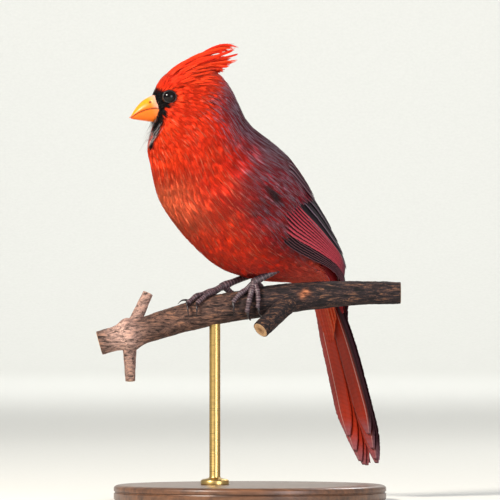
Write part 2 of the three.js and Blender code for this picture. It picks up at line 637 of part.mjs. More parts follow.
// A toe over the bark, from [x, angle] to [x, angle] through a bend, then its claw. knuckles swell it.
function toe(base, { bend, tip, thick, knuckles, claw, clawTip }) {
  const steps = 6;
  const spot = (t, k) => (1 - t) ** 2 * base[k] + 2 * t * (1 - t) * bend[k] + t ** 2 * tip[k];
  const radiusAt = (t) => thick * (mix(1.12, 0.82, t) + 0.09 * Math.cos(2 * Math.PI * knuckles * t));
  const route = Array.from({ length: steps + 1 }, (_, i) => {
    const t = i / steps;
    const lift = base[2] * (1 - ease(t / 0.4));
    return branchPoint(spot(t, 0), spot(t, 1), radiusAt(t) + GAP + 0.12 + lift);
  });
  const flesh = tube(route, radiusAt, TOE_SIDES);
  const clawSteps = 3;
  const clawRadius = (t) => mix(0.78 * thick, 0.16, t ** 0.8);
  const clawRoute = Array.from({ length: clawSteps + 1 }, (_, i) => {
    const t = i / clawSteps;
    const along = mix(-0.12, 1, t);
    const [x, angle] = [mix(tip[0], clawTip[0], along), mix(tip[1], clawTip[1], along)];
    const arch = claw * Math.sin(Math.PI * clamp01(along)) * 0.32;
    return branchPoint(x, angle, clawRadius(t) + GAP + 0.25 + arch);
  });
  return [flesh, tube(clawRoute, clawRadius, 5)];
}
// Where each foot stands on the branch: [x, angle, height of the foot's joint over the bark].
const FEET_AT = { left: [3.6, 24, 1.5], right: [-10.6, -20, 1.5] };
const TOES = {
  left: [
    { bend: [0.5, 60], tip: [-1.8, 112], thick: 1.25, knuckles: 3, claw: 5, clawTip: [-0.6, 158] },
    { bend: [-4, 44], tip: [-7.2, 76], thick: 1.15, knuckles: 2, claw: 4, clawTip: [-8.0, 122] },
    { bend: [5, 62], tip: [3.2, 104], thick: 1.1, knuckles: 3, claw: 4, clawTip: [4.4, 148] },
    { bend: [5.4, -30], tip: [7.6, -72], thick: 1.35, knuckles: 1.5, claw: 6, clawTip: [8.4, -128] },
  ],
  right: [
    { bend: [-21, -8], tip: [-26.6, 42], thick: 1.25, knuckles: 3, claw: 5, clawTip: [-28.0, 92] },
    { bend: [-17, 18], tip: [-22.6, 52], thick: 1.15, knuckles: 2, claw: 4, clawTip: [-24.6, 100] },
    { bend: [-18, -30], tip: [-25.6, -34], thick: 1.1, knuckles: 3, claw: 4, clawTip: [-31.0, -14] },
    { bend: [-6, -46], tip: [-4.4, -84], thick: 1.35, knuckles: 1.5, claw: 6, clawTip: [-4.6, -138] },
  ],
};
// The heel joints, inside the belly's feathers.
const HEELS = { left: new THREE.Vector3(24.0, 2.6, 109.4), right: new THREE.Vector3(8.6, 18.4, 104.6) };
const ANKLE_LENGTH = 4; // of the leg above the foot's joint that belongs to the foot's own piece
// The leg's middle line between two distances above the foot's joint.
function legLine(name, from, to) {
  const [x, angle, rise] = FEET_AT[name];
  const low = branchPoint(x, angle, 2 + rise);
  const length = low.distanceTo(HEELS[name]);
  return Array.from({ length: 9 }, (_, i) => {
    const t = mix(from, to ?? length, i / 8) / length;
    return low.clone().lerp(HEELS[name], t).add(new THREE.Vector3(0, 0, 0.5 * Math.sin(Math.PI * t)));
  });
}
function foot(name) {
  const [x, angle, rise] = FEET_AT[name];
  const knob = new THREE.SphereGeometry(2.0, 8, 6);
  const seat = branchPoint(x, angle, 1.9 + rise);
  knob.translate(seat.x, seat.y, seat.z);
  const line = legLine(name, 0, ANKLE_LENGTH).filter((_, i) => i % 4 === 0);
  const ankle = tube(line, (t) => mix(1.9, 1.5, t), 8);
  return fuse([knob, ankle, ...TOES[name].flatMap((settings) => toe(FEET_AT[name], settings))]);
}
function tarsus(name) {
  const shaft = tube(legLine(name, ANKLE_LENGTH + GAP), (t) => 1.3 + 0.3 * (2 * t - 1) ** 2, 10);
  return largest(solid(shaft).subtract(trunkClear));
}
// The torso grown by the gap, to trim the legs where they go in.
const trunkClear = solid(trunkLength(NECK_END - 0.6, 14.85, 20, GAP));

function torso() {
  return solid(trunkLength(NECK_END + 0.5 * gapShare(NECK_END), TORSO_END - gapShare(TORSO_END), 14));
}
function head() {
  const skull = trunkLength(0, HEAD_END - 0.5 * gapShare(HEAD_END), 14);
  let body = fuse([skull, eyeLid(1), eyeLid(-1), ...crest()]);
  for (const side of [-1, 1]) body = body.subtract(solid(eyeBall(side, EYE_RADIUS + GAP, 12)));
  const neckClear = solid(trunkLength(HEAD_END - 0.5 * gapShare(HEAD_END), NECK_END, 7, 1.5 * GAP));
  return largest(body.subtract(neckClear));
}
function neck() {
  return solid(trunkLength(HEAD_END + 0.5 * gapShare(HEAD_END), NECK_END - 0.5 * gapShare(NECK_END), 6));
}
function billPiece(upper) {
  const faceClear = solid(trunkLength(-1.5 * gapShare(0), HEAD_END, 15, 2 * GAP));
  let body = solid(billHalf(upper)).subtract(faceClear);
  if (upper) for (const side of [-1, 1]) body = body.subtract(solid(nostril(side)));
  return largest(body);
}

// Display stand: a turned round base and a short rod up to the branch
function standBase() {
  const profile = [
    [0, 0], [BASE_RADIUS - 1, 0], [BASE_RADIUS, 1], [BASE_RADIUS, 4.2],
    [BASE_RADIUS - 0.8, 5.8], [BASE_RADIUS - 2.6, BASE_HEIGHT], [0, BASE_HEIGHT],
  ].map(([r, z]) => new THREE.Vector2(r, z));
  return solid(new THREE.LatheGeometry(profile, 32).rotateX(Math.PI / 2));
}
function standRod() {
  const bottom = BASE_HEIGHT + GAP;
  const profile = [
    [0, bottom], [6.5, bottom], [6.5, bottom + 1.6], [5.6, bottom + 2.4],
    [ROD_RADIUS, bottom + 2.8], [ROD_RADIUS, branchHeight(ROD_X)], [0, branchHeight(ROD_X)],
  ].map(([r, z]) => new THREE.Vector2(r, z));
  const rod = new THREE.LatheGeometry(profile, 16).rotateX(Math.PI / 2).translate(ROD_X, 0, 0);
  return largest(solid(rod).subtract(solid(branchLength(GAP, false))));
}

const bird = new THREE.Group();
bird.add(
  piece("head", head(), MATERIALS.red),
  piece("neck", neck(), MATERIALS.red),
  piece("torso", torso(), MATERIALS.red),
  piece("bill_upper", billPiece(true), MATERIALS.bill),
  piece("bill_lower", billPiece(false), MATERIALS.bill),
  piece("tail", tail(), MATERIALS.tail),
);
for (const [name, side] of [["left", 1], ["right", -1]]) {
  bird.add(
    piece(`eye_${name}`, solid(eyeBall(side, EYE_RADIUS, 12)), MATERIALS.eye),
    piece(`wing_${name}`, wing(side), MATERIALS.dusky),
    piece(`leg_${name}`, tarsus(name), MATERIALS.leg),
    piece(`foot_${name}`, foot(name), MATERIALS.leg),
  );
}
const mount = new THREE.Group();
mount.add(
  piece("perch", perch(), MATERIALS.bark),
  piece("stand_rod", standRod(), MATERIALS.rod),
  piece("stand_base", standBase(), MATERIALS.base),
);
const model = new THREE.Group();
model.add(bird, mount);

export default model;
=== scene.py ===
"""A male northern cardinal, life size, on a cut length of branch over a plain turned stand."""

import math

import bpy
import numpy as np
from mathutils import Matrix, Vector


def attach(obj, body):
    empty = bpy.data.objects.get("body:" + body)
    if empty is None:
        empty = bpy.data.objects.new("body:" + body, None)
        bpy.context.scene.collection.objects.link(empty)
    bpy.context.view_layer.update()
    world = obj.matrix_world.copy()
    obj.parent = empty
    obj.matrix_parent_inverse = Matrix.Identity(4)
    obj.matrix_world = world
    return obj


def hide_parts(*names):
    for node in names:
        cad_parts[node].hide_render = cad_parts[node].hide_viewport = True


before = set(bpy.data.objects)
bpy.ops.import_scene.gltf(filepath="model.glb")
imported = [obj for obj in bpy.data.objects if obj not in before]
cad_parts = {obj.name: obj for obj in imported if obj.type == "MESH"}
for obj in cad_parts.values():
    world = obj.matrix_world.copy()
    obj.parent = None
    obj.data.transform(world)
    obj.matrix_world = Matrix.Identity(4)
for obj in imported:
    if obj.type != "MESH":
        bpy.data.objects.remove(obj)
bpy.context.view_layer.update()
rng = np.random.default_rng(11)
MM = 0.001

# Real sizes, in millimetres and degrees, as in the part
GAP = 0.3
BODY_YAW = 35.0  # the body's turn towards the camera
HEAD_YAW = 15.0  # the head's, which looks back along the branch
FEET = np.array([-4.0, 0.0, 0.0])
EYE_RADIUS = 3.4
TAIL_LENGTH = 98.0
BRANCH_HALF = 68.5
BASE_RADIUS = 62.0
BASE_HEIGHT = 7.0
ROD_RADIUS = 2.5
ROD_X = -16.0
COAT_DEPTH = 1.7  # from the feathers' outer surface down to the skin

# The trunk: a section's middle in the bird's mid plane (forward, height), how far its top leans back,
# and its reach up, down and to each side.
SECTIONS = {
    "face": (46.8, 178.4, 0, 4.6, 4.8, 4.0),
    "bill base": (45.3, 179.0, 3, 8.4, 7.6, 7.0),
    "lores": (43.5, 180.2, 8, 12.0, 11.6, 9.6),
    "eye": (41.0, 180.6, 17, 15.4, 16.2, 11.5),
    "ear": (38.3, 180.0, 27, 18.8, 20.0, 13.0),
    "crown": (35.1, 177.8, 34, 22.0, 23.2, 15.0),
    "nape": (31.5, 173.7, 40, 24.8, 24.8, 17.6),
    "throat": (27.6, 167.9, 43, 25.6, 25.6, 20.4),
    "collar": (23.4, 160.0, 43, 26.2, 27.6, 22.6),
    "shoulder": (18.1, 151.5, 43, 25.4, 28.6, 23.8),
    "breast": (3.3, 138.0, 43, 25.6, 30.0, 24.6),
    "belly": (-11.8, 124.7, 43, 23.0, 27.6, 23.0),
    "vent": (-29.0, 113.3, 47, 16.0, 20.0, 17.4),
    "rump": (-41.6, 104.7, 57, 9.6, 11.8, 12.4),
    "tail root": (-48.0, 93.5, 69, 5.0, 5.6, 9.4),
    "tail coverts": (-52.6, 78.5, 73, 3.4, 3.4, 8.6),
}
AT = {name: i for i, name in enumerate(SECTIONS)}
COLUMNS = np.array(list(SECTIONS.values()), float).T


def clamp(t):
    return np.clip(t, 0.0, 1.0)


def ease(t):
    t = clamp(t)
    return t * t * (3 - 2 * t)


def mix(a, b, t):
    return a + (b - a) * t


def through(values, place):
    """A smooth value through evenly numbered ones."""
    values = np.asarray(values, float)
    ends = np.concatenate([[2 * values[0] - values[1]], values, [2 * values[-1] - values[-2]]])
    i = np.clip(np.floor(place).astype(int), 0, len(values) - 2)
    t = place - i
    a, b, c, d = ends[i], ends[i + 1], ends[i + 2], ends[i + 3]
    return b + 0.5 * t * (c - a + t * (2 * a - 5 * b + 4 * c - d + t * (3 * (b - c) + d - a)))


def bent(start, bend, end, t):
    """A curve from start to end that leans towards the bend between them."""
    return (1 - t) ** 2 * start + 2 * t * (1 - t) * bend + t ** 2 * end


# The trunk as a table of fine steps
STEP = 0.01
TRUNK_START = -0.6
TRUNK_END = 15.3
PLACES = np.arange(TRUNK_START, TRUNK_END, STEP)
FORWARD, HEIGHT, LEAN, UP, DOWN, SIDE = (through(column, PLACES) for column in COLUMNS)
TURN = ease((PLACES - AT["eye"]) / (AT["throat"] - AT["eye"]))
YAW = np.radians(mix(HEAD_YAW, BODY_YAW, TURN))
AHEAD = np.stack([-np.cos(YAW), -np.sin(YAW), np.zeros_like(YAW)], 1)
LEFT = np.stack([np.sin(YAW), -np.cos(YAW), np.zeros_like(YAW)], 1)


def spine_plan():
    """Where the spine runs on the plan, walked from the shoulder both ways."""
    walked = np.diff(FORWARD, prepend=FORWARD[0])[:, None] * AHEAD
    path = np.cumsum(walked, axis=0)
    start = int(round((AT["shoulder"] - PLACES[0]) / STEP))
    anchor = FEET + FORWARD[start] * AHEAD[start]
    return path - path[start] + anchor


MIDDLE = spine_plan()
MIDDLE[:, 2] = HEIGHT
LEAN_BACK = np.radians(LEAN)[:, None]
UPWARD = -AHEAD * np.sin(LEAN_BACK) + np.array([0, 0, 1]) * np.cos(LEAN_BACK)


def look_up(table, place):
    """A table's row at each place, between its steps."""
    at = np.clip((place - PLACES[0]) / STEP, 0, len(PLACES) - 1.001)
    i = at.astype(int)
    t = at - i
    if table.ndim > 1:
        t = t[..., None]
    return table[i] * (1 - t) + table[i + 1] * t


def trunk_point(place, angle, over):
    """Points at a height over the trunk, whose angle is 0 at the back, 90 on the left and 180 below."""
    place, angle, over = np.broadcast_arrays(*(np.asarray(v, float) for v in (place, angle, over)))
    cosine, sine = np.cos(np.radians(angle)), np.sin(np.radians(angle))
    reach = np.where(cosine > 0, look_up(UP, place), look_up(DOWN, place)) + over
    side = look_up(SIDE, place) + over
    return (look_up(MIDDLE, place) + look_up(UPWARD, place) * (reach * cosine)[..., None]
            + look_up(LEFT, place) * (side * sine)[..., None])


def unit(v):
    return v / np.maximum(np.linalg.norm(v, axis=-1, keepdims=True), 1e-9)


# Wings: a place on a wing is its distance behind the wrist and its angle round the trunk
WRIST = 9.0
WRIST_AT = int(round((WRIST - PLACES[0]) / STEP))
WING_RUN = np.concatenate([[0], np.cumsum(np.linalg.norm(np.diff(MIDDLE[WRIST_AT:], axis=0), axis=1))])
WING_PLACES = PLACES[WRIST_AT:]
RATE_STEPS = 30
WING_RATE = WING_RUN[RATE_STEPS] / (RATE_STEPS * STEP)  # millimetres to a place, at the wrist

# Colours, as seen on the bird and its stand

def linear(code):
    """An sRGB hex colour as linear red, green and blue."""
    parts = np.array([int(code[i:i + 2], 16) for i in (1, 3, 5)]) / 255
    return np.where(parts <= 0.04045, parts / 12.92, ((parts + 0.055) / 1.055) ** 2.4)


SCARLET = linear("#f22812")
ORANGE_RED = linear("#ff4a1a")
# Painted light: the pale orange of the breast's lit front edge
BREAST_PAINTED_LIGHT = linear("#ff7d50")
CRIMSON = linear("#cc1418")
# Painted light: a lighter rose for the vent, which lies in shade under the wing
VENT_PAINTED_LIGHT = linear("#ff7258")
DUSKY_RED = linear("#94182a")
DUSKY_PURPLE = linear("#642233")
BACK_GREY = linear("#3c222d")
FRINGE_GREY = linear("#a58fa0")
FRINGE_PALE = linear("#ff9c72")
MASK_BLACK = linear("#0b0709")
WING_PINK = linear("#b8434f")
WING_DARK = linear("#140b11")
WING_GREY = linear("#5d4450")
TAIL_BRICK = linear("#d23c1e")
TAIL_DARK = linear("#34101a")
TAIL_TIP = linear("#a87884")
SHAFT_PALE = linear("#f0d4cc")


# Meshes

class Soup:
    """Closed shapes gathered for one piece, with a tint and a bake place for each corner point."""

    def __init__(self):
        self.points, self.faces, self.tints, self.places = [], [], [], []
        self.count = 0

    def add(self, points, faces, tints, places):
        points = np.asarray(points, float).reshape(-1, 3)
        self.points.append(points)
        self.faces.append(np.asarray(faces, int).reshape(-1, 3) + self.count)
        self.tints.append(np.broadcast_to(np.asarray(tints, float), points.shape))
        self.places.append(np.broadcast_to(np.asarray(places, float), (len(points), 2)))
        self.count += len(points)

    def mesh(self, name, sharp=None):
        """The mesh in metres. Edges that turn by more than sharp degrees stay sharp."""
        points = np.concatenate(self.points) * MM
        faces = np.concatenate(self.faces)
        mesh = bpy.data.meshes.new(name)
        mesh.vertices.add(len(points))
        mesh.vertices.foreach_set("co", points.ravel())
        mesh.loops.add(faces.size)
        mesh.loops.foreach_set("vertex_index", faces.ravel())
        mesh.polygons.add(len(faces))
        mesh.polygons.foreach_set("loop_start", np.arange(0, faces.size, 3))
        mesh.polygons.foreach_set("use_smooth", np.full(len(faces), True))
        mesh.update(calc_edges=True)
        tint = mesh.color_attributes.new("tint", "FLOAT_COLOR", "POINT")
        colours = np.ones((len(points), 4))
        colours[:, :3] = np.clip(np.concatenate(self.tints), 0, 1)
        tint.data.foreach_set("color", colours.ravel())
        bake = mesh.uv_layers.new(name="OFBake")
        places = np.concatenate(self.places)[faces.ravel()]
        bake.data.foreach_set("uv", places.ravel())
        if sharp:
            mesh.set_sharp_from_angle(angle=math.radians(sharp))
        return mesh


def outward(points, faces):
    """The faces turned so that the closed shape's volume is positive."""
    a, b, c = (points[faces[:, k]] for k in range(3))
    volume = np.einsum("ij,ij->i", a, np.cross(b, c)).sum()
    return faces if volume > 0 else faces[:, ::-1]


def grid_faces(rows, columns, closed=False):
    """Two triangles for each cell of a grid of points."""
    i, j = np.meshgrid(np.arange(rows - 1), np.arange(columns if closed else columns - 1), indexing="ij")
    k = (j + 1) % columns
    a, b, c, d = i * columns + j, i * columns + k, (i + 1) * columns + k, (i + 1) * columns + j
    return np.concatenate([np.stack([a, b, c], -1).reshape(-1, 3), np.stack([a, c, d], -1).reshape(-1, 3)])


def loft_faces(rows, columns):
    """A closed skin through rings, with a fan at each end whose middles are the last two points."""
    sides = grid_faces(rows, columns, closed=True)
    j = np.arange(columns)
    k = (j + 1) % columns
    first, last = rows * columns, rows * columns + 1
    low = np.stack([k, j, np.full(columns, first)], -1)
    high = np.stack([j, k, np.full(columns, 0)], -1) + (rows - 1) * columns
    high[:, 2] = last
    return np.concatenate([sides, low, high])


def add_loft(soup, rings, tints, places):
    """A closed loft through rings of points, each row of one shape."""
    rows, columns = rings.shape[:2]
    points = np.concatenate([rings.reshape(-1, 3), rings[0].mean(0)[None], rings[-1].mean(0)[None]])
    tints = np.broadcast_to(tints, rings.shape)
    places = np.broadcast_to(places, (rows, columns, 2))
    ends = lambda values: np.concatenate(
        [values.reshape(rows * columns, -1), values[0].mean(0)[None], values[-1].mean(0)[None]])
    soup.add(points, outward(points, loft_faces(rows, columns)), ends(tints), ends(places))


def add_barb(soup, start, bow, end, side, up, thick, tint, place):
    """A fine closed hair of three sides from its start through a bow to a point."""
    points = np.array([start - side * thick, start + side * thick, start + up * thick,
                       bow - side * thick * 0.8, bow + side * thick * 0.8, bow + up * thick * 0.8, end])
    faces = np.array([[0, 1, 2], [0, 3, 4], [0, 4, 1], [1, 4, 5], [1, 5, 2], [2, 5, 3], [2, 3, 0],
                      [3, 6, 4], [4, 6, 5], [5, 6, 3]])
    soup.add(points, outward(points, faces), tint, place)


def plate_faces(rows, columns):
    """A thin closed plate between a top grid and a bottom grid."""
    top = grid_faces(rows, columns)
    under = rows * columns
    rim = np.concatenate([
        np.arange(columns - 1), np.arange(rows - 1) * columns + columns - 1,
        (rows - 1) * columns + np.arange(columns - 1, 0, -1), np.arange(rows - 1, 0, -1) * columns])
    on = np.roll(rim, -1)
    upper_wall = np.stack([on, rim, under + rim], -1)
    lower_wall = np.stack([on, under + rim, under + on], -1)
    return np.concatenate([top, under + top[:, ::-1], upper_wall, lower_wall])


def add_plate(soup, top, bottom, tints, places):
    """A thin closed plate, its underside darker as painted shade."""
    rows, columns = top.shape[:2]
    points = np.concatenate([top.reshape(-1, 3), bottom.reshape(-1, 3)])
    tints = np.broadcast_to(tints, top.shape).reshape(-1, 3)
    places = np.broadcast_to(places, (rows, columns, 2)).reshape(-1, 2)
    faces = outward(points, plate_faces(rows, columns))
    # Painted shade: the underside at 0.6 of the top's colour
    soup.add(points, faces, np.concatenate([tints, tints * 0.6]), np.concatenate([places, places]))


RINGS_FROM = np.array([0.31, 0.87, 0.38])  # the direction that a tube's rings are set out from


def tube_rings(route, radius, sides):
    """Rings of points across a route, which is a row of points with a radius each."""
    along = unit(np.gradient(route, axis=0))
    across = unit(np.cross(RINGS_FROM, along))
    other = np.cross(along, across)
    turn = 2 * np.pi * np.arange(sides) / sides
    circle = across[:, None] * np.cos(turn)[None, :, None] + other[:, None] * np.sin(turn)[None, :, None]
    return route[:, None] + circle * np.asarray(radius).reshape(len(route), -1, 1)


ROUND = 6.4  # a little over a full turn, so that bake places round a tube stay inside their sheet
CELL_MARGIN = 0.06  # the share of a bake cell that stays free on each side


def bake_cell(index, cells, across, along):
    """Bake places inside one cell of a square sheet of cells."""
    column, row = index % cells, index // cells
    inside = 1 - 2 * CELL_MARGIN
    places = (column + CELL_MARGIN + inside * across) / cells, (row + CELL_MARGIN + inside * along) / cells
    return np.stack(np.broadcast_arrays(*places), -1)


# Materials

def add_node(tree, kind, links=None, **settings):
    """A node with its settings, and its inputs linked from sockets or set to values."""
    node = tree.nodes.new(kind)
    for key, value in settings.items():
        setattr(node, key, value)
    for name, value in (links or {}).items():
        if isinstance(value, bpy.types.NodeSocket):
            tree.links.new(value, node.inputs[name])
        else:
            node.inputs[name].default_value = value
    return node


def new_material(name, **sockets):
    """A material with the given values on its shader's own sockets."""
    material = bpy.data.materials.new(name)
    material.use_nodes = True
    shader = material.node_tree.nodes["Principled BSDF"]
    for key, value in sockets.items():
        shader.inputs[key.replace("_", " ")].default_value = value
    return material, material.node_tree, shader


def object_scaled(tree, scale):
    """Object coordinates stretched so that a pattern's unit is a real size."""
    coordinates = add_node(tree, "ShaderNodeTexCoord")
    mapping = add_node(tree, "ShaderNodeMapping", {"Vector": coordinates.outputs["Object"], "Scale": scale})
    return mapping.outputs[0]


EVEN = (1, 1, 1)


def grained(tree, grain_mm, stretch, shares, between=(0.3, 0.7), **settings):
    """A pattern of a real grain size, and a factor that follows it from one share to another."""
    scale = {"Vector": object_scaled(tree, stretch), "Scale": 1 / (grain_mm * MM)}
    pattern = add_node(tree, "ShaderNodeTexNoise", {**scale, **settings}).outputs["Fac"]
    factor = add_node(tree, "ShaderNodeMapRange", {
        "Value": pattern, "From Min": between[0], "From Max": between[1],
        "To Min": shares[0], "To Max": shares[1]})
    return pattern, factor.outputs[0]


def shade_tint(tree, shader, factor):
    """The piece's own tint, made darker and lighter by a factor, as the base colour."""
    tint = add_node(tree, "ShaderNodeAttribute", attribute_name="tint")
    shaded = add_node(tree, "ShaderNodeVectorMath", {0: tint.outputs["Color"], "Scale": factor},
                      operation="SCALE")
    tree.links.new(shaded.outputs[0], shader.inputs["Base Color"])


def plumage(name, roughness, grain_mm, depth, sheen):
    """Feather keratin: matt, softly lit through its barbs, finely grained, with a faint sheen at its edge."""
    material, tree, shader = new_material(
        name, Roughness=roughness, Specular_IOR_Level=0.14, Sheen_Weight=sheen, Sheen_Roughness=0.4)
    _, factor = grained(tree, grain_mm, EVEN, (1 - depth, 1 + depth), Detail=3.0, Roughness=0.6)
    shade_tint(tree, shader, factor)
    return material


def horn(name, roughness, coat, grain_mm):
    """Bill and claw keratin: hard, waxy and half glossy, with faint growth lines."""
    material, tree, shader = new_material(
        name, Roughness=roughness, Specular_IOR_Level=0.3, IOR=1.54, Coat_Weight=coat, Coat_Roughness=0.25)
    lines, factor = grained(tree, grain_mm, (0.35, 1, 1), (0.88, 1.08), Detail=4.0)
    shade_tint(tree, shader, factor)
    bump = add_node(tree, "ShaderNodeBump", {"Height": lines, "Strength": 0.25, "Distance": 0.05 * MM})
    tree.links.new(bump.outputs[0], shader.inputs["Normal"])
    return material


BARK_DARK = linear("#21181a")
BARK_BROWN = linear("#4d3830")
BARK_OCHRE = linear("#a8744c")
BARK_PALE = linear("#b09084")


def bark():
    """Thin dead bark: dry, matt and nearly black, worn along the branch to show ochre wood in streaks."""
    material, tree, shader = new_material("thin_bark", Roughness=0.85, Specular_IOR_Level=0.35)
    streaks, worn = grained(tree, 1.1, (0.22, 1, 1), (0.0, 1.0), (0.53, 0.66),
                            Detail=8.0, Roughness=0.75, Distortion=0.6)
    patches = add_node(tree, "ShaderNodeTexNoise", {
        "Vector": object_scaled(tree, (0.5, 1, 1)), "Scale": 1 / (9.0 * MM), "Detail": 4.0})
    where = add_node(tree, "ShaderNodeMath", {0: worn, 1: patches.outputs["Fac"]}, operation="MULTIPLY")
    dark = add_node(tree, "ShaderNodeMapRange", {
        "Value": streaks, "From Min": 0.4, "From Max": 0.62, "To Min": 0.12, "To Max": 2.5})
    tint = add_node(tree, "ShaderNodeAttribute", attribute_name="tint")
    shaded = add_node(tree, "ShaderNodeVectorMath", {0: tint.outputs["Color"], "Scale": dark.outputs[0]},
                      operation="SCALE")
    colour = add_node(tree, "ShaderNodeMix", {
        "Factor": where.outputs[0], 6: shaded.outputs[0], 7: (*BARK_OCHRE, 1)}, data_type="RGBA")
    tree.links.new(colour.outputs[2], shader.inputs["Base Color"])
    bump = add_node(tree, "ShaderNodeBump", {"Height": streaks, "Strength": 0.9, "Distance": 0.7 * MM})
    tree.links.new(bump.outputs[0], shader.inputs["Normal"])
    return material


def sawn_wood():
    """Sawn end grain: bare, dry and matt, with its rings in the piece's own tint."""
    material, tree, shader = new_material("sawn_wood", Roughness=0.9, Specular_IOR_Level=0.14)
    _, factor = grained(tree, 0.8, EVEN, (0.75, 1.25), Detail=3.0, Roughness=0.6)
    shade_tint(tree, shader, factor)
    return material


def varnished_wood():
    """Stained beech, turned and varnished: straight fine grain under a satin coat."""
    material, tree, shader = new_material(
        "stained_beech", Roughness=0.42, Coat_Weight=0.35, Coat_Roughness=0.22)
    grain = add_node(tree, "ShaderNodeTexNoise", {
        "Vector": object_scaled(tree, (0.06, 1, 0.5)), "Scale": 1 / (2.4 * MM),
        "Detail": 5.0, "Roughness": 0.6})
    ramp = add_node(tree, "ShaderNodeValToRGB", {"Fac": grain.outputs["Fac"]})
    for stop, place, code in zip(ramp.color_ramp.elements, (0.32, 0.7), ("#3e2517", "#7a5033")):
        stop.position = place
        stop.color = (*linear(code), 1)
    _, fleck = grained(tree, 0.7, (0.25, 1, 1), (0.82, 1.1), Detail=2.0)
    colour = add_node(tree, "ShaderNodeVectorMath", {0: ramp.outputs["Color"], "Scale": fleck},
                      operation="SCALE")
    tree.links.new(colour.outputs[0], shader.inputs["Base Color"])
    return material


def satin_brass():
    """Turned brass rod, lacquered: warm, with fine rings round it left by the lathe."""
    material, tree, shader = new_material("satin_brass", Metallic=1.0, Base_Color=(*linear("#c8a868"), 1))
    _, rough = grained(tree, 0.4, (0.02, 0.02, 1), (0.24, 0.4), Detail=2.0)
    tree.links.new(rough, shader.inputs["Roughness"])
    return material


def wet_eye():
    """A dark brown iris seen through a wet cornea, so it looks black with one clean highlight."""
    material, tree, shader = new_material("wet_eye", Roughness=0.05, IOR=1.34)
    rim = add_node(tree, "ShaderNodeTexNoise", {
        "Vector": object_scaled(tree, EVEN), "Scale": 1 / (1.2 * MM), "Detail": 2.0})
    ramp = add_node(tree, "ShaderNodeValToRGB", {"Fac": rim.outputs["Fac"]})
    for stop, code in zip(ramp.color_ramp.elements, ("#060404", "#120a08")):
        stop.color = (*linear(code), 1)
    tree.links.new(ramp.outputs["Color"], shader.inputs["Base Color"])
    return material


def leg_skin():
    """Horny plates over the toes and leg: dry and half matt, with a fine grain of pores."""
    material, tree, shader = new_material("leg_plates", Roughness=0.5, Coat_Weight=0.1)
    pores, factor = grained(tree, 0.5, EVEN, (0.75, 1.25), Detail=4.0)
    shade_tint(tree, shader, factor)
    bump = add_node(tree, "ShaderNodeBump", {"Height": pores, "Strength": 0.3, "Distance": 0.1 * MM})
    tree.links.new(bump.outputs[0], shader.inputs["Normal"])
    return material


BODY_PLUMAGE = plumage("body_plumage", 0.7, 0.5, 0.12, 0.04)
FLIGHT_PLUMAGE = plumage("flight_plumage", 0.55, 0.4, 0.12, 0.0)
SKIN = plumage("plumage_base", 0.9, 0.8, 0.25, 0.0)
BILL_HORN = horn("bill_horn", 0.38, 0.12, 0.8)
CLAW_HORN = horn("claw_horn", 0.3, 0.3, 0.5)
WET_EYE = wet_eye()
LEG_SKIN = leg_skin()
BARK = bark()
SAWN_WOOD = sawn_wood()
BASE_WOOD = varnished_wood()
ROD_BRASS = satin_brass()


def put(name, mesh, material, slot, *nodes):
    """A finished piece of the model, standing for the named solids."""
    piece = bpy.data.objects.new(name, mesh)
    bpy.context.scene.collection.objects.link(piece)
    mesh.materials.append(material)
    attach(piece, "root")
    if nodes:
        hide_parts(*nodes)
    return piece


# Markings of the body, by place along the spine and angle from the back

MASK_EDGE = [0.55, 0.75, 1.45, 2.75, 2.2, 2.35, 4.3]  # place where the black ends, every 30 degrees
MASK_BLEND = 0.35
EYE_RING = 3.4  # reach of the black round the eye
EYE_RING_BLEND = 0.5
EYE_RING_OUT = 2.0


def patchy(points, size):
    """Soft irregular patches over the body, from -1 to 1."""
    x, y, z = (points[..., k] / size for k in range(3))
    return (np.sin(x + 1.7 * np.sin(0.7 * z + 1.3)) * np.sin(1.1 * z + 1.9 * np.sin(0.8 * y + 0.4))
            * np.cos(0.6 * y - 0.5 * x))


def turned_from_back(angle):
    """The angle round the trunk from the back, the same for both sides."""
    return np.abs(((angle + 180) % 360) - 180)


def mask_share(place, turn, points):
    """How black the face is: round the bill, up to the eye, and down over the chin."""
    edge = np.interp(turn, np.arange(7) * 30, MASK_EDGE) + 0.16 * patchy(points, 1.1)
    mask = ease((edge - place) / MASK_BLEND + 0.5)
    for side in (-1, 1):
        centre, out = eye_place(side)
        away = np.linalg.norm(points - centre - out * EYE_RING_OUT, axis=-1)
        mask = np.maximum(mask, ease((EYE_RING - away) / EYE_RING_BLEND))
    return mask


def behind_wrist(place):
    """The distance behind the wrist, which is negative in front of it."""
    return np.where(place < WRIST, (place - WRIST) * WING_RATE, np.interp(place, WING_PLACES, WING_RUN))


# Where the painted shadow in the wing's narrow gap and the wing's barred patch lie: the angle from the back
# and the distance behind the wrist, and their half sizes
SHADOW_GAP = (87.5, 21.5)
SHADOW_GAP_HALF = (3.2, 5.4)
BARRED = (103, 20)
BARRED_HALF = (8.0, 4.0)
BARS_TURN = 2.6  # radians of the bars' wave to each millimetre


def wing_shadow_gap_and_bars(place, angle):
    """Painted shadow in a narrow gap over the folded wing, and a barred patch where dark soft-feather webs
    show.
    """
    turn, distance = turned_from_back(angle), behind_wrist(place)

    def away(middle, half):
        return np.hypot((turn - middle[0]) / half[0], (distance - middle[1]) / half[1])

    # Painted shadow: the narrow gap between the feather groups is darkened
    gap = ease(2.6 - 1.8 * away(SHADOW_GAP, SHADOW_GAP_HALF))
    bars = 0.5 + 0.5 * np.sin(BARS_TURN * distance + 0.1 * turn)
    barred = ease(1.9 - away(BARRED, BARRED_HALF)) * bars
    return clamp(0.9 * gap + 0.75 * barred)


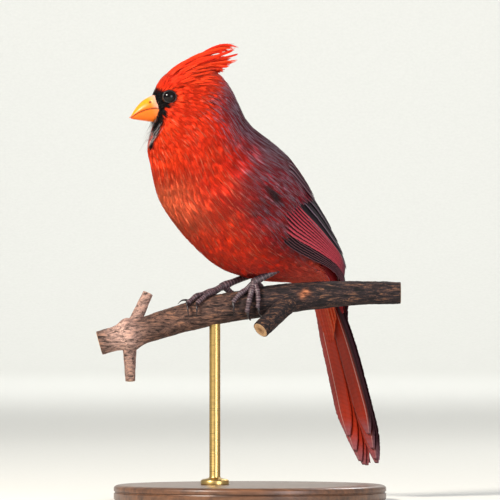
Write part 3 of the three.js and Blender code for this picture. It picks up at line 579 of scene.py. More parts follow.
# Patches of the body's plumage in the order they are laid on: the colour, its share, and where it comes in
# along the spine and round the trunk, each as a start and a run. A run below nought lies before its start.
BODY_PATCHES = {
    # Painted light: the breast made lighter where the light falls on it
    "breast": (BREAST_PAINTED_LIGHT, 0.8, (6.2, 1.5), (122, 44)),
    "belly": (CRIMSON, 0.4, (10.0, 2.2), (60, 60)),
    "cheek": (CRIMSON, 0.55, (5.2, 1.6), (112, -40)),
    "nape": (DUSKY_PURPLE, 0.8, (4.9, 1.6), (92, -36)),
    "flank": (DUSKY_RED, 0.8, (7.8, 1.6), (136, -38)),
    # Painted light: the vent made lighter, though it lies in shade under the wing
    "vent": (VENT_PAINTED_LIGHT, 0.85, (11.2, 1.3), (84, 26)),
    "back": (BACK_GREY, 0.72, (5.6, 1.6), (70, -34)),
}
BREAST_END = (10.0, -1.8)


def come_in(value, start, run):
    return ease((value - start) / run)


def body_colour(place, angle, points):
    """The plumage colour: brightened in front with painted light on breast and vent, dusky on nape, back and
    flank, black round the bill.
    """
    turn = (turned_from_back(angle) + 7 * patchy(points, 6.0) + 4 * patchy(points, 2.3))[..., None]
    along = place[..., None]
    shares = {}
    for name, (_, _, run, side) in BODY_PATCHES.items():
        shares[name] = come_in(along, *run) * come_in(turn, *side)
    shares["breast"] = shares["breast"] * come_in(along, *BREAST_END)
    shares["flank"] = shares["flank"] * (1 - shares["vent"])
    colour = mix(SCARLET, ORANGE_RED, clamp(0.6 + 0.3 * patchy(points, 4.2)[..., None]))
    for name, (tone, most, _, _) in BODY_PATCHES.items():
        colour = mix(colour, tone, most * shares[name])
    return mix(colour, MASK_BLACK, mask_share(place, turned_from_back(angle), points)[..., None])


def fringe_colour(place, angle, points):
    """The colour of a feather's worn tufts, and the share of its tufts that are worn."""
    turn = turned_from_back(angle)
    grey = ease((place - 4.6) / 1.4) * ease((106 + 26 * ease((place - 8) / 2) - turn) / 42)
    pale = ease((turn - 70) / 50) * ease((place - 2.6) / 1.5) * ease((12.5 - place) / 3)
    share = (0.42 * grey + 0.07 * pale * (1 - grey)) * (1 - mask_share(place, turn, points))
    return mix(FRINGE_PALE, FRINGE_GREY, clamp(grey * 1.6)[:, None]), share


BAKE_MARGIN = 0.03


def trunk_bake(place, angle):
    """Bake places of the body: the trunk's skin rolled out flat."""
    shares = np.stack([(angle % 360) / 360, place / TRUNK_END], -1)
    return BAKE_MARGIN + (1 - 2 * BAKE_MARGIN) * shares


def gape_hollow(place, angle):
    """The face is pressed in beside the bill, so that the corner of the mouth shows."""
    turn = turned_from_back(angle)
    return 1.5 * np.exp(-(((turn - 96) / 30) ** 2) - ((place - 0.9) / 0.85) ** 2)


SKIN_END = 14.4
SKIN_ROWS = 150
SKIN_SIDES = 96


def make_skin():
    """The plain skin that the coat stands on, at the depth of the feathers."""
    places = np.linspace(0, SKIN_END, SKIN_ROWS)[:, None]
    angles = np.linspace(0, 360, SKIN_SIDES, endpoint=False)[None, :]
    place, angle = np.broadcast_arrays(places, angles)
    rings = trunk_point(place, angle, -COAT_DEPTH - gape_hollow(place, angle))
    soup = Soup()
    # Painted shade: the body's colour at half brightness, for the shade deep between the feathers
    add_loft(soup, rings, body_colour(place, angle, rings) * 0.5, trunk_bake(place, angle))
    put("skin", soup.mesh("skin"), SKIN, "plumage_red", "head", "neck", "torso")


# Small body feathers: a short vane that carries many fine loose barbs, which lie along the body

BARBS = 46
BARB_HALF = 0.07
TUFTS = 4  # the barbs of each feather gather in this many tufts
TUFT_OF = np.arange(BARBS) * TUFTS // BARBS
TUFT_MIDDLE = (TUFT_OF + 0.5) / TUFTS * 2 - 1
VANE_ROWS = np.array([0.0, 0.2, 0.38])
VANE_HALVES = np.array([0.4, 0.6, 0.25])
VANE_POINTS = 18
TETRA = np.array([[0, 1, 2], [0, 3, 1], [1, 3, 2], [2, 3, 0]])


def feather_faces():
    """The faces of one feather: its vane's plate and its barbs' points."""
    barbs = (TETRA[None] + 4 * np.arange(BARBS)[:, None, None] + VANE_POINTS).reshape(-1, 3)
    return np.concatenate([plate_faces(3, 3), barbs])


def feather_shape(count, length, half):
    """Each feather's points as millimetres along it, across it and over the plumage, with their shares."""
    vane_down = np.repeat(VANE_ROWS, 3)
    vane_aside = (VANE_HALVES[:, None] * np.array([-1, 0, 1])).ravel()
    vane = np.stack([np.tile(vane_down, 2), np.tile(vane_aside, 2), np.repeat([-0.25, -0.45], 9)], -1)
    size = np.stack([length, half, np.ones(count)], -1)[:, None]
    vane = np.broadcast_to(vane, (count, VANE_POINTS, 3)) * size
    t = np.linspace(-1, 1, BARBS) + rng.normal(0, 0.05, (count, BARBS))
    gathered = mix(t, TUFT_MIDDLE + rng.normal(0, 0.12, (count, TUFTS))[:, TUFT_OF], 0.6)
    raised = rng.uniform(0.0, 0.2, (count, TUFTS))[:, TUFT_OF]
    start = rng.uniform(0.04, 0.58, (count, BARBS)) * (1 - 0.25 * np.abs(t))
    end = start + rng.uniform(0.42, 0.7, (count, BARBS))
    root = np.stack([start * length[:, None], 0.6 * t * half[:, None], 0.02 + 0 * t], -1)
    tip = np.stack([end * length[:, None], (gathered + rng.normal(0, 0.05, t.shape)) * half[:, None],
                    raised + rng.uniform(0.0, 0.08, t.shape)], -1)
    wide = np.array([0.0, BARB_HALF, 0.0])
    barbs = np.stack([root - wide, root + wide, root + np.array([0, 0, 0.15]), tip], 2)
    return np.concatenate([vane, barbs.reshape(count, -1, 3)], 1)


def feather_light(place):
    """How bright each point is: the vane darker, as painted shade under the barbs, and each tuft a little
    different.
    """
    count = len(place)
    # Painted shade: the vane lies under the barbs, so it is darker
    light = np.full((count, VANE_POINTS + 4 * BARBS), 0.72)
    calm = np.interp(place, [6, 9], [1.0, 0.6])[:, None]
    tufts = calm * rng.normal(0, 0.12, (count, TUFTS))[:, TUFT_OF] + rng.normal(0, 0.06, (count, BARBS))
    light[:, VANE_POINTS:] = np.repeat(1 + tufts, 4, axis=1)
    return light * (1 + rng.normal(0, 0.03, (count, 1)))


def worn_share(share, fringe_share):
    """How much of the worn colour each point takes: some of the tufts, towards their ends."""
    worn_tufts = rng.random((len(share), TUFTS)) < fringe_share[:, None]
    worn = np.zeros(share.shape)
    worn[:, VANE_POINTS:] = np.repeat(0.85 * worn_tufts[:, TUFT_OF], 4, axis=1)
    return worn * ease((share - 0.3) / 0.4)


def over_body(place, angle, shape, sway):
    """The places and angles of the feathers' points, each feather turned by its sway."""
    turn = np.radians(sway)[:, None]
    down = shape[..., 0] * np.cos(turn) - shape[..., 1] * np.sin(turn)
    aside = shape[..., 0] * np.sin(turn) + shape[..., 1] * np.cos(turn)
    near = trunk_point(place, angle, 0.0)
    per_place = np.linalg.norm(trunk_point(place + 0.05, angle, 0.0) - near, axis=-1) / 0.05
    per_degree = np.linalg.norm(trunk_point(place, angle + 1.0, 0.0) - near, axis=-1)
    to_place = place[:, None] + down / np.maximum(per_place, 2.0)[:, None]
    return to_place, angle[:, None] + aside / np.maximum(per_degree, 0.06)[:, None]


ROOT_SINK = -1.4
TIP_RISE = 0.12
FEATHER_BAKE = (0.0008, 0.003)  # the size of a feather's patch on the bake sheet, across and along it


def lay_feathers(soup, place, angle, ground, length, half, sway, tints, fringe, fringe_share):
    """Small feathers laid from their roots over a ground, which gives the plumage's height over the trunk."""
    shape = feather_shape(len(place), length, half)
    to_place, to_angle = over_body(place, angle, shape, sway)
    share = clamp(shape[..., 0] / length[:, None])
    rise = mix(ROOT_SINK, TIP_RISE, share ** 0.7)
    points = trunk_point(to_place, to_angle, ground(to_place, to_angle) + rise + shape[..., 2])
    # Painted shade: each feather darker at its root, deep in the plumage, and lighter at its tip
    light = mix(0.8, 1.07, share) * feather_light(place)
    worn = worn_share(share, fringe_share)
    colours = mix(tints[:, None], fringe[:, None], worn[..., None]) * light[..., None]
    # Painted shadow in the wing's narrow gap, and the barred patch's dark webs
    colours = mix(colours, WING_DARK, wing_shadow_gap_and_bars(to_place, to_angle)[..., None])
    across = shape[..., 1] / half[:, None]
    patch = np.stack([across * FEATHER_BAKE[0], (share - 0.5) * FEATHER_BAKE[1]], -1)
    step = np.arange(len(place))[:, None, None] * shape.shape[1]
    bake = trunk_bake(place, angle)[:, None] + patch
    soup.add(points, feather_faces()[None] + step, colours.reshape(-1, 3), bake.reshape(-1, 2))


CELL_SIZE = 2.6  # the roots are sorted into boxes of this size, which is more than their widest spacing
NEIGHBOURS = [(x, y, z) for x in (-1, 0, 1) for y in (-1, 0, 1) for z in (-1, 0, 1)]


def crowded(i, cell, points, cells, apart):
    """Whether a root that is already taken stands too close to this one."""
    for x, y, z in NEIGHBOURS:
        for j in cells.get((cell[0] + x, cell[1] + y, cell[2] + z), ()):
            gap = points[i] - points[j]
            if gap @ gap < apart[i] * apart[i]:
                return True
    return False


def scatter(first, last, apart_at, keep, tries):
    """Evenly spread roots over a stretch of the trunk, closer together where apart_at is small."""
    place = rng.uniform(first, last, tries)
    angle = rng.uniform(0, 360, tries)
    points = trunk_point(place, angle, 0.0)
    along = trunk_point(place + 0.02, angle, 0.0) - points
    round_it = trunk_point(place, angle + 0.5, 0.0) - points
    area = np.linalg.norm(np.cross(along, round_it), axis=1)
    chosen = (rng.uniform(0, area.max(), tries) < area) & keep(place, angle, points)
    place, angle, points = place[chosen], angle[chosen], points[chosen]
    apart = apart_at(place)
    taken = []
    cells = {}
    for i, (x, y, z) in enumerate(points):
        cell = (int(x // CELL_SIZE), int(y // CELL_SIZE), int(z // CELL_SIZE))
        if not crowded(i, cell, points, cells, apart):
            cells.setdefault(cell, []).append(i)
            taken.append(i)
    return place[taken], angle[taken], points[taken]


# Wings

CORE_LIFT = 2.0
WING_CELLS = 10
CORE_CELL = WING_CELLS ** 2 - 1


def place_behind_wrist(distance):
    """The place along the spine at a distance behind the wrist."""
    ahead = WRIST + distance / WING_RATE
    return np.where(distance < 0, ahead, np.interp(distance, WING_RUN, WING_PLACES))


def wing_point(side, distance, angle, over):
    """Points over one side of the trunk, by their distance behind the wrist."""
    return trunk_point(place_behind_wrist(np.asarray(distance, float)), side * np.asarray(angle, float), over)


def core_top(distance, angle):
    """How high the wing's fleshy front part stands over the trunk."""
    t = clamp((distance + 4) / 44)
    u = clamp((106 - angle) / 90)
    bulge = (np.sin(np.pi * mix(0.06, 0.94, t)) * np.sin(np.pi * mix(0.08, 0.92, u))) ** 0.6
    return GAP + 0.75 + CORE_LIFT * bulge


def blade_width(along, root=0.5, tip=0.45):
    """A blade's width as a share of its widest, which lessens to its root and its tip."""
    grow = mix(root, 1.0, ease(along / 0.4))
    fade = mix(1.0, tip, clamp((along - 0.8) / 0.2) ** 1.7)
    return np.where(along < 0.5, grow, fade)


def barb_grid(rows, columns, sweep):
    """Along and across for each point of a blade, in rows that sweep back like its barbs."""
    along = np.linspace(0, 1, rows)[:, None]
    across = np.array(columns)[None, :]
    swept = along + sweep * np.abs(across) * 4 * along * (1 - along)
    return clamp(swept), np.broadcast_to(across, (rows, len(columns)))


def ragged_edge(rows, across):
    """How far each barb reaches, with a few splits in the blade's edge."""
    reach = 1 - 0.05 * rng.random((rows, 1))
    for _ in range(2):
        at = rng.integers(rows // 3, rows - 2)
        reach[at] *= 0.93
    outer = np.abs(across) > 0.6
    return np.where(outer, reach, 1.0)


def blade_tints(along, across, web, margin, tip, shaft, margin_side=1, margin_from=0.6, shaft_at=0.0):
    """A feather's own colours: a web, a margin on one side of another colour, a shaft and a worn tip."""
    edge = ease((across * margin_side - margin_from) / 0.14)[..., None]
    colour = mix(web, margin, edge)
    colour = mix(colour, tip, 0.7 * ease((along - 0.86) / 0.14)[..., None])
    colour = mix(colour, shaft, 0.9 * (np.abs(across * margin_side - shaft_at) < 0.03)[..., None])
    stripes = 1 + 0.10 * np.sin(np.arange(along.shape[0]) * 2.1)[:, None, None]
    return colour * stripes * rng.uniform(0.9, 1.1)


def skin_radius(distance):
    """About how far the folded wing lies from the spine."""
    place = place_behind_wrist(np.asarray(distance, float))
    return 0.5 * (look_up(SIDE, place) + look_up(UP, place)) + 2


WING_COLUMNS = [-1.0, -0.5, 0.0, 0.3, 0.5, 0.62, 0.74, 0.84, 0.93, 1.0]


def wing_feather(soup, side, cell, look, root, bend, tip, width, lift, slope, rows):
    """One feather of the folded wing, from root to tip through a bend, each (distance, angle)."""
    along, across = barb_grid(rows, WING_COLUMNS, 0.05)
    distance = bent(root[0], bend[0], tip[0], along)
    half = 0.5 * width * blade_width(along) * ragged_edge(rows, across)
    angle = bent(root[1], bend[1], tip[1], along) + np.degrees(across * half / skin_radius(distance))
    ridge = 0.07 * np.cos(np.pi * across / 2) + 0.035 * (np.arange(rows) % 2)[:, None] * np.abs(across)
    ridge = ridge + 0.16 * (np.abs(across) < 0.1)
    height = mix(lift[0], lift[1], ease(along / 0.45)) + slope * across * half + ridge
    top = wing_point(side, distance, angle, height)
    thin = 0.3 * (1 - 0.5 * along)
    bottom = wing_point(side, distance, angle, height - thin)
    tints = blade_tints(along, across, **look)
    add_plate(soup, top, bottom, tints, bake_cell(cell, WING_CELLS, (across + 1) / 2, along))


PRIMARY = dict(web=WING_DARK * 0.5, margin=linear("#96606b"), tip=WING_DARK, shaft=WING_DARK * 0.5,
               margin_from=0.9)
SECONDARY = dict(web=WING_DARK, margin=WING_PINK, tip=WING_GREY, shaft=WING_DARK * 0.7, margin_from=0.7)
TERTIAL = dict(web=WING_DARK * 1.5, margin=linear("#7c6675"), tip=WING_GREY, shaft=WING_DARK * 0.6,
               margin_from=0.84)
GREATER = dict(web=mix(WING_DARK, DUSKY_RED, 0.3), margin=mix(DUSKY_RED, WING_GREY, 0.35), tip=WING_GREY,
               shaft=WING_DARK)
MEDIAN = dict(web=mix(WING_DARK, DUSKY_RED, 0.4), margin=mix(DUSKY_RED, DUSKY_PURPLE, 0.3),
              tip=mix(WING_GREY, DUSKY_RED, 0.4), shaft=WING_DARK)
SCAPULAR = dict(web=BACK_GREY, margin=mix(DUSKY_PURPLE, WING_GREY, 0.4), tip=WING_GREY, shaft=WING_DARK)

# Each tier of the wing, from its lower edge to its upper edge: the first feather and the last
TIERS = [
    ("primaries", 7, 80, PRIMARY,
     dict(root=(24, 101), bend=(58, 108), tip=(86, 72), width=6.0, lift=(1.7, 2.3)),
     dict(root=(26, 92), bend=(58, 90), tip=(94, 52), width=6.0, lift=(1.7, 2.6))),
    ("secondaries", 9, 70, SECONDARY,
     dict(root=(20, 96), bend=(50, 95), tip=(82, 64), width=7.0, lift=(1.8, 2.8)),
     dict(root=(24, 70), bend=(50, 66), tip=(79, 48), width=7.0, lift=(1.8, 3.0))),
    ("tertials", 4, 60, TERTIAL,
     dict(root=(28, 66), bend=(50, 65), tip=(80, 46), width=8.6, lift=(1.9, 3.5)),
     dict(root=(32, 36), bend=(48, 32), tip=(63, 24), width=8.6, lift=(2.0, 3.7))),
    ("greater coverts", 10, 44, GREATER,
     dict(root=(12, 100), bend=(20, 101), tip=(28, 98), width=6.0, lift=(1.8, 2.9)),
     dict(root=(20, 48), bend=(30, 47), tip=(43, 45), width=6.4, lift=(2.0, 3.7))),
    ("median coverts", 8, 34, MEDIAN,
     dict(root=(5, 99), bend=(12, 99), tip=(18, 97), width=7.0, lift=(0.8, 2.2)),
     dict(root=(12, 48), bend=(21, 47), tip=(31, 45), width=7.0, lift=(1.0, 3.6))),
    ("primary coverts", 5, 34, GREATER,
     dict(root=(22, 108), bend=(30, 112), tip=(38, 114), width=4.4, lift=(1.0, 1.6)),
     dict(root=(22, 101), bend=(30, 105), tip=(41, 105), width=4.4, lift=(1.0, 1.8))),
    ("alula", 3, 34, GREATER,
     dict(root=(14, 107), bend=(22, 109), tip=(29, 111), width=4.6, lift=(1.0, 1.8)),
     dict(root=(15, 101), bend=(24, 104), tip=(34, 105), width=4.6, lift=(1.0, 2.0))),
    ("long scapulars", 6, 44, SCAPULAR,
     dict(root=(12, 50), bend=(27, 48), tip=(43, 43), width=7.4, lift=(1.6, 4.7)),
     dict(root=(12, 18), bend=(24, 16), tip=(40, 15), width=7.4, lift=(1.6, 4.2))),
]
LAYER = 0.62  # from one feather's face to the next one's


def add_wing_core(soup, side):
    """The soft front of the wing, which carries the feathers' roots."""
    t = np.linspace(0, 1, 26)[:, None]
    u = np.linspace(0, 1, 22)[None, :]
    distance = mix(1.0, 40.0, t)
    rounding = 12 * (2 * t - 1) ** 4
    angle = mix(106 - rounding, 16 + rounding, u)
    top = wing_point(side, distance, angle, core_top(distance, angle) - 0.9)
    bottom = wing_point(side, distance, angle, 0.45)
    # Painted shade: a dark sheet under the feathers' roots, where there is only shade
    add_plate(soup, top, bottom, DUSKY_PURPLE * 0.4, bake_cell(CORE_CELL, WING_CELLS, u, t))


def make_wing(name, side):
    soup = Soup()
    cell = 0
    for _, count, rows, look, first, last in TIERS:
        distance, low = first["bend"]
        apart = math.radians(low - last["bend"][1]) * float(skin_radius(distance)) / (count - 1)
        slope = min(0.4, LAYER / apart)
        for i in range(count):
            t = i / (count - 1)
            settings = {key: mix(np.array(first[key], float), np.array(last[key], float), t) for key in first}
            wing_feather(soup, side, cell, look, slope=slope, rows=rows, **settings)
            cell += 1
    add_wing_core(soup, side)
    mesh = soup.mesh("wing_" + name)
    put("wing_" + name + "_feathers", mesh, FLIGHT_PLUMAGE, "plumage_wing", "wing_" + name)


# Tail: six feathers a side, the middle pair on top, the outer pair lowest and shortest

TAIL_PITCH = 72.8
TAIL_SHARES = [0.99, 1.0, 0.995, 0.975, 0.92, 0.845]
TAIL_FEATHER_HALF = 6.4
TAIL_START = 14.0
TAIL_LAYER = 0.8
BODY_AHEAD = np.array([-math.cos(math.radians(BODY_YAW)), -math.sin(math.radians(BODY_YAW)), 0])
BODY_LEFT = np.array([math.sin(math.radians(BODY_YAW)), -math.cos(math.radians(BODY_YAW)), 0])
PITCH = math.radians(TAIL_PITCH)
TAIL_ROOT = FEET - 43.6 * BODY_AHEAD + np.array([0, 0, 108.0])
TAIL_ALONG = -BODY_AHEAD * math.cos(PITCH) - np.array([0, 0, math.sin(PITCH)])
TAIL_OUT = -BODY_AHEAD * math.sin(PITCH) + np.array([0, 0, math.cos(PITCH)])
TAIL_COLUMNS = [-1.0, -0.8, -0.6, -0.46, -0.4, -0.34, -0.2, 0.0, 0.2, 0.34, 0.4, 0.46, 0.6, 0.8, 1.0]
TAIL_CELLS = 6
SLEEVE_CELL = TAIL_CELLS ** 2 - 1
SLEEVE_FROM = 12.6
SLEEVE_RUN = 2.0

# Each covert's place to the side, its reach along the tail and its layer
TAIL_COVERTS = [(-6.0, 25, 0), (6.0, 25, 0), (-3.6, 29, 1), (3.6, 29, 1), (-1.4, 33, 2), (1.4, 33, 2)]


def tail_blade(soup, cell, look, rows, down, aside, half, inner_half, out, thickness):
    """A straight blade of the tail, whose settings are given at each place along it."""
    along, across = barb_grid(rows, TAIL_COLUMNS, 0.035)
    reach = np.where(across < 0, inner_half(along), half(along)) * ragged_edge(rows, across)
    grain = 0.04 * (np.arange(rows) % 2)[:, None] * np.abs(across) + 0.2 * (np.abs(across) < 0.1)
    spine = TAIL_ROOT + down(along)[..., None] * TAIL_ALONG
    flat = spine + (aside(along) + across * reach)[..., None] * BODY_LEFT
    height = out(along) + grain
    top = flat + height[..., None] * TAIL_OUT
    bottom = flat + (height - thickness * (1 - 0.4 * along) - 2 * grain)[..., None] * TAIL_OUT
    bake = bake_cell(cell, TAIL_CELLS, (across + 1) / 2, along)
    add_plate(soup, top, bottom, blade_tints(along, across, **look), bake)


def add_tail_feather(soup, side, pair, share):
    """One of the twelve, which lies a layer below the pair inside it."""
    length = TAIL_LENGTH * share - (0 if side < 0 else 1.2)
    low, high = 1.6 + 0.6 * pair, 3.2 + 1.0 * pair
    level = (1.9 + (TAIL_LAYER if side > 0 else 0)) if pair == 0 else 1.9 - TAIL_LAYER * pair
    outer = lambda t: TAIL_FEATHER_HALF * blade_width(t, 0.62, 0.2)
    if pair == 0:
        inner = lambda t: np.minimum(outer(t), mix(TAIL_FEATHER_HALF, 1.2, ease((t - 0.75) / 0.25)))
    else:
        inner = lambda t: np.minimum(outer(t), mix(low, high, t) - 0.2)
    # Painted shade: on the feathers of one side the narrow outer web is dark, as it is tilted away from the
    # light
    outer_web = TAIL_DARK if side > 0 else mix(TAIL_BRICK, TAIL_TIP, 0.3)
    look = dict(web=mix(TAIL_BRICK, TAIL_DARK, 0.14 * rng.random()), margin=outer_web, tip=TAIL_TIP,
                shaft=SHAFT_PALE, margin_side=side, margin_from=0.5, shaft_at=0.4 if pair > 1 else 0.0)
    tail_blade(
        soup, pair + (len(TAIL_SHARES) if side > 0 else 0), look, 90,
        down=lambda t: mix(TAIL_START, length, t),
        aside=lambda t: side * mix(low, high, t),
        half=outer if side > 0 else inner, inner_half=inner if side > 0 else outer,
        out=lambda t: level + 0.6 * np.sin(np.pi * t), thickness=0.4)


def add_tail_covert(soup, cell, over, aside, length, layer):
    """A short feather over the tail's root, where over is 1, or under it, where it is -1."""
    # Painted light: the undertail coverts' margins take half of the breast's painted light
    look = dict(web=mix(ORANGE_RED, TAIL_BRICK, 0.5) if over < 0 else BACK_GREY,
                margin=mix(BREAST_PAINTED_LIGHT, TAIL_BRICK, 0.5) if over < 0 else DUSKY_PURPLE,
                tip=TAIL_BRICK if over < 0 else WING_GREY, shaft=TAIL_BRICK)
    level = (3.7 if over > 0 else 3.3) + 0.5 * layer
    span = lambda t: 3.6 * blade_width(t, 0.7, 0.1)
    tail_blade(
        soup, cell, look, 40,
        down=lambda t: mix(5, length + (0 if over > 0 else 4), t),
        aside=lambda t: aside * mix(0.7, 1 if over > 0 else 0.7, t), half=span, inner_half=span,
        out=lambda t: over * mix(level + 0.2, level, t), thickness=0.3)


def make_tail():
    soup = Soup()
    for side in (-1, 1):
        for pair, share in enumerate(TAIL_SHARES):
            add_tail_feather(soup, side, pair, share)
    cell = 2 * len(TAIL_SHARES)
    for over in (-1, 1):
        for covert in TAIL_COVERTS:
            add_tail_covert(soup, cell, over, *covert)
            cell += 1
    places = np.linspace(SLEEVE_FROM, SLEEVE_FROM + SLEEVE_RUN, 30)[:, None]
    angles = np.linspace(0, 360, 48, endpoint=False)[None, :]
    rings = trunk_point(places, angles, -0.6)
    bake = bake_cell(SLEEVE_CELL, TAIL_CELLS, angles / 360, (places - SLEEVE_FROM) / SLEEVE_RUN)
    # Painted shade: a dark sleeve at the tail's root, under the coverts
    add_loft(soup, rings, mix(CRIMSON, TAIL_DARK, 0.5) * 0.6, bake)
    put("tail_feathers", soup.mesh("tail_feathers"), FLIGHT_PLUMAGE, "plumage_tail", "tail")


# Crest: long soft feathers from the forehead to the back of the crown

# Where the feathers' tips stand ahead of the eye and above it, row by row from the forehead back
CREST_TIPS = [
    (-12, 20.0), (-19.5, 23.4), (-26.5, 24.8), (-33.6, 25.2), (-34.8, 22.2), (-34.2, 19.2), (-30.6, 17.0),
    (-27.6, 14.4)]
CREST_FEATHERS = 96
CREST_BARBS = 30
CROWN_FEATHERS = 84
CREST_LOCKS = [3.0, 4.0, 4.9, 6.1, 7.0]  # rows where the feathers' ends gather
PLUME_STEPS = 12
PLUME_BAKE = 0.003


def eye_frame():
    """The middle of the head at the eyes, with the ways ahead and to the left."""
    at = np.array(float(AT["eye"]))
    return look_up(MIDDLE, at), look_up(AHEAD, at), look_up(LEFT, at)


def add_plume(soup, stops, aside, tilt, widest, tone, place):
    """A long soft feather from its root through a bend to its tip, with loose barbs along both sides."""
    root, lifted, tip = stops
    last = PLUME_STEPS - 1
    t = np.linspace(0, 1, PLUME_STEPS)[:, None]
    curve = bent(root, lifted, tip, t)
    tangent = unit(np.gradient(curve, axis=0))
    level = np.broadcast_to(unit(aside), curve.shape)
    wide = unit(np.cross(aside, tangent) + tilt * aside) if tilt else level
    flat = unit(np.cross(tangent, wide))
    half = 0.5 * mix(widest, 0.5, t) * blade_width(t, 0.8, 0.1)
    across = np.array([-1.0, 0.0, 1.0])[None, :, None]
    top = curve[:, None] + wide[:, None] * half[:, None] * across + flat[:, None] * 0.1
    bottom = top - flat[:, None] * 0.22
    patch = np.stack(np.broadcast_arrays(across[..., 0] * 0.5, t - 0.5), -1)
    bake = trunk_bake(np.array(place[0]), np.array(place[1])) + PLUME_BAKE * patch
    # Painted shade: each plume darker towards its root, deep in the crown
    add_plate(soup, top, bottom, tone * mix(0.6, 1.05, t)[:, None], bake)
    long_barb = 0.12 * np.linalg.norm(tip - root) + 1.6
    for k in range(CREST_BARBS):
        side = 1 if k % 2 else -1
        start_t = mix(0.25, 0.93, (k + rng.random()) / CREST_BARBS)
        index = start_t * last
        j = int(index)
        start = mix(curve[j], curve[min(j + 1, last)], index - j)
        go, out, up = tangent[j], wide[j], flat[j]
        reach = rng.uniform(0.7, 1.25) * long_barb * mix(1.0, 0.5, start_t)
        spread = mix(0.2, 0.06, start_t)
        end = start + go * reach + out * side * reach * spread + up * rng.normal(0, 0.2)
        bow = start + go * reach * 0.5 + out * side * reach * spread * 0.7 + up * rng.normal(0, 0.1)
        add_barb(soup, start, bow, end, out, up, 0.1, tone * rng.uniform(0.75, 1.2), bake[j, 1])


def add_crest(soup):
    """The raised crest, whose feathers' ends gather in locks."""
    middle, ahead, left = eye_frame()
    tips = np.array(CREST_TIPS)
    for i in range(CREST_FEATHERS):
        if i % 3 == 0:
            row = rng.uniform(0, 3)
        else:
            row = CREST_LOCKS[i % len(CREST_LOCKS)] + rng.normal(0, 0.1)
        row = float(np.clip(row, 0, 7))
        share = clamp(row / 7 + rng.normal(0, 0.05))
        aside = float(np.clip(rng.normal(0, 1.3), -3.0, 3.0))
        at = mix(2.2, 5.2, share)
        goes, high = through(tips[:, 0], np.array(row)), through(tips[:, 1], np.array(row))
        short = (1 - 0.02 * abs(aside)) * (1 - 0.22 * rng.random() ** 2)
        root = trunk_point(at, 0.0, mix(-2.2, -1.5, share)) + left * aside
        lifted = trunk_point(at + mix(1.3, 0.6, share), 0.0, 2.6 + rng.normal(0, 0.3)) + left * aside * 1.2
        tip = middle + ahead * goes * short + left * (aside * 0.5) + np.array([0, 0, high * short])
        if row < 3:
            ahead_on = through(tips[:, 0], np.array(row + 0.3)) - goes
            higher = through(tips[:, 1], np.array(row + 0.3)) - high
            lifted = tip - 9.0 * unit(ahead * ahead_on + np.array([0, 0, higher]))
        back = ease(np.array((row - 3.5) / 3.5))
        tone = mix(mix(SCARLET, ORANGE_RED, rng.random()), CRIMSON, 0.3 * back) * rng.uniform(0.68, 1.12)
        add_plume(soup, (root, lifted, tip), left, 0.25 * np.sign(aside + 0.01), 2.4, tone, (at, aside * 6.0))


def add_crown(soup):
    """Shorter feathers on both sides of the crest's foot."""
    _, ahead, _ = eye_frame()
    for i in range(CROWN_FEATHERS):
        side = 1 if i % 2 else -1
        at, turn = rng.uniform(2.3, 5.0), rng.uniform(12, 56)
        root = trunk_point(at, side * turn, -1.2)
        normal = unit(trunk_point(at, side * turn, 1.0) - root)
        down = unit(trunk_point(at + 0.3, side * turn, -1.2) - root)
        go = unit(down + (np.array([0, 0, 0.5]) - ahead * 0.5) * (1 - turn / 64))
        reach = rng.uniform(6.0, 9.5)
        lifted = root + go * reach * 0.45 + normal * 2.0
        tip = root + go * reach + normal * 1.3
        tone = body_colour(np.array([at + 0.6]), np.array([turn]), root[None])[0] * rng.uniform(0.85, 1.15)
        add_plume(soup, (root, lifted, tip), np.cross(normal, go), 0.0, 1.8, tone, (at, side * turn))


def make_crest():
    soup = Soup()
    add_crest(soup)
    add_crown(soup)
    put("crest_feathers", soup.mesh("crest_feathers"), BODY_PLUMAGE, "plumage_red")


# Eyes, each with a ring of bare lid

EYE_ASIDE = 8.7
EYE_ABOVE = 2.2
LID_RADIUS = 2.78
LID_OUT = 2.1
LID_RING = 72
LID_TUBE = 14


def eye_place(side):
    """The middle of an eye's ball and the way it looks."""
    middle, ahead, left = eye_frame()
    out = unit(left * side + ahead * 0.16 + np.array([0, 0, 0.06]))
    return middle + left * side * EYE_ASIDE + ahead * 0.1 + np.array([0, 0, EYE_ABOVE]), out


def round_frame(axis):
    """Two ways across an axis."""
    across = unit(np.cross(axis, np.array([0.0, 0.0, 1.0])))
    return across, np.cross(across, axis)


def make_eyelid(name, centre, out, across, high):
    """A ring of bare lid, as a wrinkled tube closed on itself."""
    ring = np.linspace(0, 2 * math.pi, LID_RING, endpoint=False)
    tube = np.linspace(0, 2 * math.pi, LID_TUBE, endpoint=False)
    radius = LID_RADIUS + 0.14 * np.cos(2 * ring)
    wrinkle = 0.21 + 0.04 * np.sin(11 * ring) + 0.03 * np.sin(17 * ring + 1)
    spoke = across * np.cos(ring)[:, None] + high * np.sin(ring)[:, None]
    rings = (centre + out * LID_OUT
             + spoke[:, None] * (radius[:, None] + wrinkle[:, None] * np.cos(tube))[..., None]
             + out * (wrinkle[:, None] * np.sin(tube))[..., None])
    points = rings.reshape(-1, 3)
    last = np.arange(LID_TUBE)
    following = (last + 1) % LID_TUBE
    start, end = last + (LID_RING - 1) * LID_TUBE, following + (LID_RING - 1) * LID_TUBE
    seam = [np.stack([start, end, following], -1), np.stack([start, following, last], -1)]
    faces = np.concatenate([grid_faces(LID_RING, LID_TUBE, closed=True), *seam])
    bake = np.stack(np.broadcast_arrays(ring[:, None] / ROUND, tube[None, :] / ROUND), -1).reshape(-1, 2)
    lid = Soup()
    lid.add(points, outward(points, faces), linear("#1b1416"), bake)
    put("eyelid_" + name, lid.mesh("eyelid_" + name), LEG_SKIN, "leg_skin")


